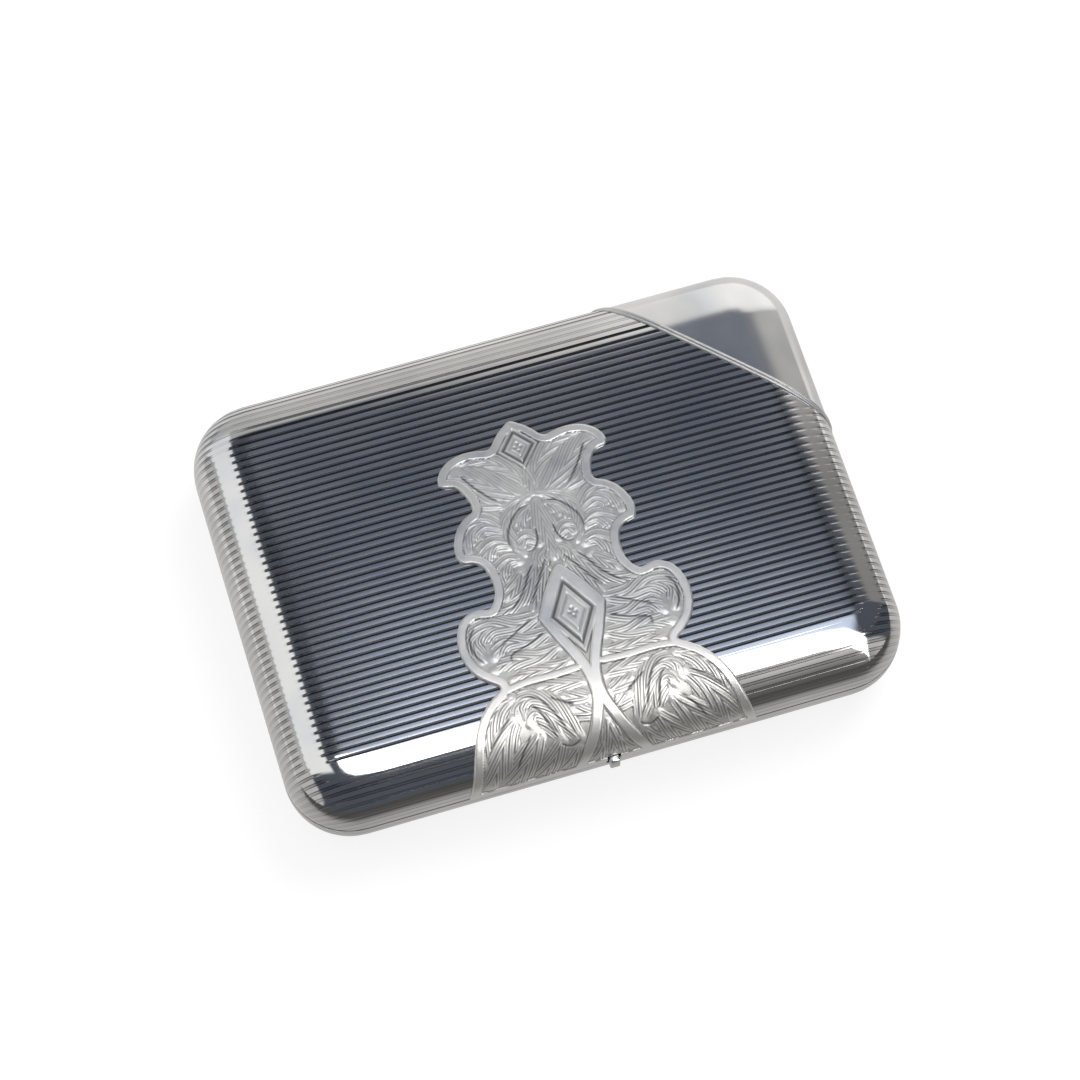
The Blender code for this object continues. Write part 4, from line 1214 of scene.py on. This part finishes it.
def border_mesh():
    """The border strip: two beads side by side, over the field and down both rims."""
    die = Die(0.0, LID_CROWN)
    total = BORDER_DISTANCE * math.sqrt(2)
    back_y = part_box("corner_border")[1].y
    field_x = total - die.flat_y
    field_y = total - die.flat_x
    across = Vector((1, 1, 0)).normalized()
    places = []
    for step in range(BORDER_RIM_STEPS):
        length = die.rim.length * (1 - step / BORDER_RIM_STEPS)
        run, drop, outward, upward = die.rim.at(length)
        if die.flat_y + run + outward * SEAT_GAP < back_y - BORDER_END_GAP:
            places.append((Vector((field_x - run, die.flat_y + run, die.height - drop)),
                           Vector((0, outward, upward))))
    for step in range(BORDER_FIELD_STEPS + 1):
        x = field_x + (die.flat_x - field_x) * step / BORDER_FIELD_STEPS
        y = total - x
        places.append((Vector((x, y, die.height + die.crown_at(x, y))), Vector((0, 0, 1))))
    for step in range(1, BORDER_RIM_STEPS + 1):
        run, drop, outward, upward = die.rim.at(die.rim.length * step / BORDER_RIM_STEPS)
        places.append((Vector((die.flat_x + run, field_y - run, die.height - drop)),
                       Vector((outward, 0, upward))))
    stops = [(place, (across - normal * across.dot(normal)).normalized(), normal)
             for place, normal in places]
    half = BORDER_WIDTH / 2
    bead = half / 2
    section = [(-half, -BORDER_SUNK), (half, -BORDER_SUNK)]
    for centre in (bead, -bead):
        for step in range(BEAD_STEPS + 1):
            turn = math.pi * step / BEAD_STEPS
            section.append((centre + bead * math.cos(turn),
                            BORDER_BASE + BEAD_RISE * math.sin(turn)))
    bm = swept(stops, section)
    mesh = mesh_from(bm, "border")
    seat(mesh, True)
    return mesh


def softened_copy(node, edge):
    """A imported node's shape with its edges rounded over."""
    bm = bmesh.new()
    bm.from_mesh(frame["nodes"][node].data)
    bmesh.ops.remove_doubles(bm, verts=bm.verts, dist=WELD)
    bmesh.ops.dissolve_limit(bm, angle_limit=FLAT_ANGLE, verts=bm.verts, edges=bm.edges)
    sharp = [rib for rib in bm.edges if len(rib.link_faces) == 2
             and rib.calc_face_angle() > EDGE_ANGLE]
    bmesh.ops.bevel(bm, geom=sharp, offset=edge, offset_type="OFFSET", affect="EDGES",
                    segments=EDGE_SEGMENTS, profile=0.5, clamp_overlap=True, material=-1)
    bmesh.ops.remove_doubles(bm, verts=bm.verts, dist=WELD)
    mesh = mesh_from(bm, node)
    mesh.materials.clear()
    return mesh


def bowed(spring):
    """The leaf spring with its middle bowed back, out of the push-piece's way."""
    bm = bmesh.new()
    bm.from_mesh(spring)
    bpy.data.meshes.remove(spring)
    for step in range(-SPRING_STEPS, SPRING_STEPS + 1):
        divide(bm, (SPRING_FREE_HALF * step / SPRING_STEPS, 0, 0), (1, 0, 0))
    for vert in bm.verts:
        share = min(1.0, abs(vert.co.x) / SPRING_FREE_HALF)
        vert.co.y += SPRING_BOW * math.cos(math.pi / 2 * share) ** 2
    return mesh_from(bm, "spring")


def knuckle_mesh(node):
    """One barrel of the hinge with rounded lips."""
    low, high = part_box(node)
    radius = (high.z - low.z) / 2
    profile = [(low.x, KNUCKLE_BORE), (high.x, KNUCKLE_BORE)]
    turns = [math.pi / 2 * step / LIP_STEPS for step in range(LIP_STEPS + 1)]
    for end, way, lip in ((high.x, 1, turns), (low.x, -1, reversed(turns))):
        for turn in lip:
            profile.append((end - way * KNUCKLE_LIP * (1 - math.cos(turn)),
                            radius - KNUCKLE_LIP * (1 - math.sin(turn))))
    return mesh_from(turned(profile, node, BARREL_STEPS), node)


def pin_mesh():
    """The hinge pin with its two domed heads."""
    low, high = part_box("hinge_pin")
    head = (high.z - low.z) / 2
    inner = high.x - PIN_HEAD_LENGTH
    dome = PIN_HEAD_LENGTH * PIN_DOME_SHARE
    right = [(inner, PIN_SHAFT), (inner, head * PIN_NECK_SHARE), (high.x - dome, head)]
    for step in range(1, DOME_STEPS + 1):
        turn = math.pi / 2 * step / DOME_STEPS
        right.append((high.x - dome * (1 - math.sin(turn)), head * math.cos(turn)))
    left = [(-along, radius) for along, radius in reversed(right)]
    return mesh_from(turned(left + right, "hinge_pin", PIN_STEPS), "pin")


def strap_mesh(node):
    """A woven elastic strap: six rubber cords side by side, slightly waved."""
    low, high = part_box(node)
    middle = (low + high) / 2
    half = (high.y - low.y) / 2
    thick = (high.z - low.z) / 2
    count = STRAP_CORDS * CORD_STEPS
    section = []
    for side in (1, -1):
        for step in range(count + 1):
            across = side * half * (1 - 2 * step / count)
            edge = math.sqrt(max(0.0, 1 - (abs(across) / half) ** STRAP_SQUARENESS))
            wave = 1 - CORD_WAVE * (1 - abs(math.sin(math.pi * step / CORD_STEPS)))
            section.append((across, side * thick * edge * wave))
    stops = []
    for step in range(STRAP_STEPS + 1):
        x = low.x + (high.x - low.x) * step / STRAP_STEPS
        stops.append((Vector((x, middle.y, middle.z)), Vector((0, 1, 0)), Vector((0, 0, 1))))
    return mesh_from(swept(stops, section), node)


class CASE_OT_shells(bpy.types.Operator):
    """Press both reeded shells"""
    bl_idname = "cigarette_case.shells"
    bl_label = "Reeded Shells"

    def execute(self, context):
        for half in ("lid", "base"):
            mesh = shell_mesh(half == "lid", context.scene.case_reeding)
            new_piece(half + "_shell_reeded", half + "_shell", mesh, ("burnished", "gilt"),
                      sharp=RIB_SHARP_ANGLE)
        return {"FINISHED"}


class CASE_OT_cartouche(bpy.types.Operator):
    """Chase the cartouche and let it into the lid"""
    bl_idname = "cigarette_case.cartouche"
    bl_label = "Chased Cartouche"

    def execute(self, context):
        new_piece("cartouche_chased", "cartouche_plate",
                  chased_plate(context.scene.case_chasing), ["chased"])
        return {"FINISHED"}


class CASE_OT_border(bpy.types.Operator):
    """Lay the beaded border strip along the plain corner"""
    bl_idname = "cigarette_case.border"
    bl_label = "Corner Border"

    def execute(self, context):
        new_piece("corner_border_beaded", "corner_border", border_mesh(), ["chased"])
        return {"FINISHED"}


class CASE_OT_hinge(bpy.types.Operator):
    """Turn the hinge's barrels and pin"""
    bl_idname = "cigarette_case.hinge"
    bl_label = "Hinge"

    def execute(self, context):
        for number in range(1, KNUCKLE_COUNT + 1):
            node = "hinge_knuckle_%d" % number
            new_piece("hinge_barrel_%d" % number, node, knuckle_mesh(node), ["plain"])
        new_piece("hinge_pin_domed", "hinge_pin", pin_mesh(), ["plain"])
        return {"FINISHED"}


class CASE_OT_fittings(bpy.types.Operator):
    """Round the edges of the bezel, lugs, push-piece, catch and spring"""
    bl_idname = "cigarette_case.fittings"
    bl_label = "Bezel, Lugs and Catch"

    def execute(self, context):
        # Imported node, new name, finish, slot, and how far its edges are rounded in millimetres
        fittings = (
            ("push_button", "push_piece_polished", "plain", "silver", 0.10),
            ("base_bezel", "bezel_gilt", "gilt", "gilt", 0.12),
            ("base_strap_lug_left", "base_lug_left", "gilt", "gilt", 0.12),
            ("base_strap_lug_right", "base_lug_right", "gilt", "gilt", 0.12),
            ("lid_strap_lug_left", "lid_lug_left", "gilt", "gilt", 0.12),
            ("lid_strap_lug_right", "lid_lug_right", "gilt", "gilt", 0.12),
            ("catch_tongue", "catch_tongue_filed", "plain", "silver", 0.08),
            ("spring_post_left", "post_left", "plain", "silver", 0.10),
            ("spring_post_right", "post_right", "plain", "silver", 0.10),
            ("button_spring", "leaf_spring", "steel", "spring_steel", 0.04),
            ("spring_rivet_left", "rivet_left", "steel", "spring_steel", 0.06),
            ("spring_rivet_right", "rivet_right", "steel", "spring_steel", 0.06),
        )
        for node, name, finish, slot, edge in fittings:
            mesh = softened_copy(node, edge * MM)
            if node == "button_spring":
                mesh = bowed(mesh)
            new_piece(name, node, mesh, [finish])
        return {"FINISHED"}


class CASE_OT_straps(bpy.types.Operator):
    """Weave the two elastic straps"""
    bl_idname = "cigarette_case.straps"
    bl_label = "Elastic Straps"

    def execute(self, context):
        for node in ("base_strap", "lid_strap"):
            new_piece(node + "_woven", node, strap_mesh(node), ["elastic"])
        return {"FINISHED"}


# Camera, fitted to the photograph: turned to the left of the front, high above the table
CAMERA_AZIMUTH = math.radians(-17.02)
CAMERA_ELEVATION = math.radians(66.16)
CAMERA_DISTANCE = 0.6743
CAMERA_LENS = 128.6
CAMERA_TARGET = Vector((-0.12, 1.99, 9.5)) * MM
CAMERA_NEAR = 0.01
SENSOR_WIDTH = 36.0
FLOOR_HALF_SIZE = 3.0
FLOOR_GAP = 0.02 * MM
# Soft daylight from the back right
SUN_FROM = Vector((0.55, 0.45, 0.8))
SUN_STRENGTH = 1.1
SUN_BREADTH = math.radians(35)


def flat_part(tree, vector, x, y):
    """A weighted sum of a vector's X and Y parts."""
    return add_node(tree, "VectorMath", {0: vector, 1: (x, y, 0.0)}, out="Value",
                    operation="DOT_PRODUCT")


def both(tree, one, other):
    """A share that holds where both shares hold."""
    return add_node(tree, "Math", {0: one, 1: other}, operation="MULTIPLY")


def either(tree, one, other):
    """A share that holds where either share holds."""
    return add_node(tree, "Math", {0: one, 1: other}, operation="MAXIMUM")


def past(tree, value, edge, soft, beyond=1.0):
    """A share that changes softly at the edge, to 1 beyond it, or to 0 with 1 before it."""
    return add_node(tree, "MapRange", {"Value": value, "From Min": edge - soft,
                                       "From Max": edge + soft, "To Min": 1.0 - beyond,
                                       "To Max": beyond}, interpolation_type="SMOOTHSTEP")


def short_of(tree, value, edge, soft):
    return past(tree, value, edge, soft, beyond=0.0)


def between(tree, value, low, high, soft):
    return both(tree, past(tree, value, low, soft), short_of(tree, value, high, soft))


def grey_ramp(tree, value, low, high, stops, tint):
    """A ramp of brightness over a span of values, each stop as (value, brightness)."""
    share = add_node(tree, "MapRange", {"Value": value, "From Min": low, "From Max": high})
    return colour_ramp(tree, share, [((place - low) / (high - low), opaque(tint, brightness))
                                     for place, brightness in stops])


def seen_or_mirrored(tree, plain, mirrored, seen):
    """One shading for the soft light, one for mirrors and one for the camera itself."""
    glossy = add_node(tree, "LightPath", out="Is Glossy Ray")
    camera = add_node(tree, "LightPath", out="Is Camera Ray")
    indirect = add_node(tree, "MixShader", {0: glossy, 1: plain, 2: mirrored})
    return add_node(tree, "MixShader", {0: camera, 1: indirect, 2: seen})


def studio_world(stage):
    """What the metal mirrors: a dark ceiling, pale walls, and two softboxes overhead. The
    directions are parts of a unit vector, and the edges are soft shares of it."""
    world = bpy.data.worlds.new("studio")
    bpy.context.scene.world = world
    world.use_nodes = True
    tree = world.node_tree
    tree.nodes.clear()
    ray = add_node(tree, "TexCoord", out="Generated")
    x = flat_part(tree, ray, 1.0, 0.0)
    y = flat_part(tree, ray, 0.0, 1.0)
    forward = flat_part(tree, ray, 0.0, -1.0)
    overhead = flat_part(tree, ray, 1.4, 1.0)
    # Ceiling behind the overhead softbox, ever darker away from it
    sky = grey_ramp(tree, flat_part(tree, ray, 0.35, 1.0), 0.27, 0.62,
                    ((0.27, 1.0), (0.305, 0.98), (0.329, 0.88), (0.337, 0.74), (0.355, 0.57),
                     (0.395, 0.40), (0.415, 0.28), (0.455, 0.20), (0.62, 0.17)),
                    stage.ceiling)
    screen = grey_ramp(tree, forward, 0.40, 1.0,
                       ((0.40, 0.56), (0.50, 0.56), (0.60, 0.58), (0.73, 0.42), (0.84, 0.26),
                        (0.93, 0.15), (1.0, 0.10)), stage.walls)
    right_wall = grey_ramp(tree, y, 0.36, 0.48,
                           ((0.36, 0.25), (0.385, 0.24), (0.402, 0.40), (0.42, 0.60),
                            (0.44, 0.85), (0.47, 1.0)), stage.walls)
    back_wall = grey_ramp(tree, y, 0.40, 1.0,
                          ((0.40, 0.40), (0.53, 0.46), (0.60, 0.50), (0.94, 0.57),
                           (1.0, 0.66)), stage.walls)
    back_wall = blend_in(tree, past(tree, x, 0.16, 0.04), back_wall, opaque(stage.walls, 1.15))
    # Each of these lies over the ones before it
    layers = (
        # The ceiling's dark sides, and the room in front, dark down to the floor
        (either(tree, short_of(tree, x, 0.02, 0.06), past(tree, x, 0.33, 0.06)),
         opaque(stage.ceiling, 0.11)),
        (short_of(tree, overhead, -0.05, 0.05), opaque(stage.ceiling, 0.11)),
        # A grey screen to the right of it
        (both(tree, past(tree, x, 0.135, 0.03), past(tree, forward, 0.40, 0.05)), screen),
        # Pale walls to the right, behind and to the left
        (both(tree, past(tree, flat_part(tree, ray, 1.0, 3.6), 1.94, 0.08),
              past(tree, x, 0.25, 0.06)), right_wall),
        (either(tree, past(tree, y, 0.64, 0.03),
                both(tree, past(tree, y, 0.50, 0.03), past(tree, x, 0.10, 0.03))), back_wall),
        (short_of(tree, x, -0.78, 0.03), opaque(stage.walls, 0.58)),
        # A weak softbox to the left, and a strong one overhead
        (both(tree, between(tree, x, -0.77, -0.24, 0.03), between(tree, y, 0.04, 0.80, 0.05)),
         opaque([0.21 * stage.softbox] * 3)),
        (both(tree, both(tree, between(tree, overhead, -0.12, 0.355, 0.03),
                         between(tree, x, -0.065, 0.52, 0.03)),
              short_of(tree, y, 0.29, 0.03)), opaque([stage.softbox] * 3)),
    )
    for share, colour in layers:
        sky = blend_in(tree, share, sky, colour)
    plain, mirrored, page = [add_node(tree, "Background", {"Color": colour}) for colour in
                             (opaque((0.62, 0.62, 0.63)), sky, opaque((1.0, 1.0, 1.0)))]
    add_node(tree, "OutputWorld", {"Surface": seen_or_mirrored(tree, plain, mirrored, page)})


def white_table(stage):
    """Matt white board: it keeps the case's soft shadow, and in mirrors it is a painted glow,
    paler behind the case than in front, where the room is dark."""
    material = bpy.data.materials.new("matt_board")
    material.use_nodes = True
    tree = material.node_tree
    tree.nodes.clear()
    board = add_node(tree, "BsdfDiffuse", {"Color": opaque(stage.floor, 0.5)})
    across = flat_part(tree, add_node(tree, "TexCoord", out="Object"), 0.0, 1.0)
    stops = ((-0.068, 0.09), (-0.058, 0.20), (-0.0525, 0.37), (-0.0465, 0.44), (-0.030, 0.56),
             (0.030, 0.60), (0.046, 0.78), (0.068, 0.80))
    # In mirrors the table is a painted glow: painted shade in front, paler behind
    mirrored = add_node(tree, "Emission", {"Color": grey_ramp(tree, across, -0.068, 0.068,
                                                              stops, stage.walls)})
    pale = add_node(tree, "BsdfDiffuse", {"Color": opaque(stage.floor, 0.30)})
    glow = add_node(tree, "Emission", {"Color": opaque(stage.floor), "Strength": 0.79})
    lit = add_node(tree, "AddShader", {0: pale, 1: glow})
    add_node(tree, "OutputMaterial", {"Surface": seen_or_mirrored(tree, board, mirrored, lit)})
    return material


class CASE_OT_stage(bpy.types.Operator):
    """Set up the table, the light and the camera"""
    bl_idname = "cigarette_case.stage"
    bl_label = "Stage"

    def execute(self, context):
        stage = context.scene.case_stage
        bm = bmesh.new()
        bmesh.ops.create_grid(bm, x_segments=1, y_segments=1, size=FLOOR_HALF_SIZE)
        bmesh.ops.translate(bm, vec=(0, 0, cad_low.z - FLOOR_GAP), verts=bm.verts)
        floor = bpy.data.objects.new("table", mesh_from(bm, "table"))
        context.scene.collection.objects.link(floor)
        floor.data.materials.append(white_table(stage))
        studio_world(stage)
        sun = bpy.data.lights.new("window", "SUN")
        sun.energy = SUN_STRENGTH
        sun.angle = SUN_BREADTH
        lamp = bpy.data.objects.new("window", sun)
        lamp.rotation_euler = SUN_FROM.to_track_quat("Z", "Y").to_euler()
        lamp.visible_glossy = False
        context.scene.collection.objects.link(lamp)
        camera = bpy.data.cameras.new("camera")
        camera.lens = CAMERA_LENS
        camera.sensor_width = SENSOR_WIDTH
        camera.clip_start = CAMERA_NEAR
        viewer = bpy.data.objects.new("camera", camera)
        back = Vector((math.sin(CAMERA_AZIMUTH) * math.cos(CAMERA_ELEVATION),
                       -math.cos(CAMERA_AZIMUTH) * math.cos(CAMERA_ELEVATION),
                       math.sin(CAMERA_ELEVATION)))
        viewer.location = CAMERA_TARGET + back * CAMERA_DISTANCE
        viewer.rotation_euler = (-back).to_track_quat("-Z", "Y").to_euler()
        context.scene.collection.objects.link(viewer)
        context.scene.camera = viewer
        context.scene.view_settings.view_transform = "Standard"
        return {"FINISHED"}


class CASE_PT_panel(bpy.types.Panel):
    """Lists the case's settings and the steps that build it"""
    bl_idname = "CASE_PT_panel"
    bl_label = "Cigarette Case"
    bl_space_type = "VIEW_3D"
    bl_region_type = "UI"
    bl_category = "Cigarette Case"

    def draw(self, context):
        for held, group in SETTINGS:
            box = self.layout.box()
            for name in group.__annotations__:
                box.prop(getattr(context.scene, held), name)
        for operator in OPERATORS:
            self.layout.operator(operator.bl_idname)


OPERATORS = (CASE_OT_shells, CASE_OT_cartouche, CASE_OT_border, CASE_OT_hinge,
             CASE_OT_fittings, CASE_OT_straps, CASE_OT_stage)
SETTINGS = (("case_reeding", ReedingSettings), ("case_chasing", ChasingSettings),
            ("case_finish", FinishSettings), ("case_stage", StageSettings))


def register():
    for name, group in SETTINGS:
        bpy.utils.register_class(group)
        setattr(bpy.types.Scene, name, PointerProperty(type=group))
    for operator in OPERATORS:
        bpy.utils.register_class(operator)
    bpy.utils.register_class(CASE_PT_panel)


def unregister():
    bpy.utils.unregister_class(CASE_PT_panel)
    for operator in reversed(OPERATORS):
        bpy.utils.unregister_class(operator)
    for name, group in reversed(SETTINGS):
        delattr(bpy.types.Scene, name)
        bpy.utils.unregister_class(group)


def main():
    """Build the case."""
    register()
    bpy.ops.cigarette_case.shells()
    bpy.ops.cigarette_case.cartouche()
    bpy.ops.cigarette_case.border()
    bpy.ops.cigarette_case.hinge()
    bpy.ops.cigarette_case.fittings()
    bpy.ops.cigarette_case.straps()
    bpy.ops.cigarette_case.stage()


if __name__ == "__main__":
    main()
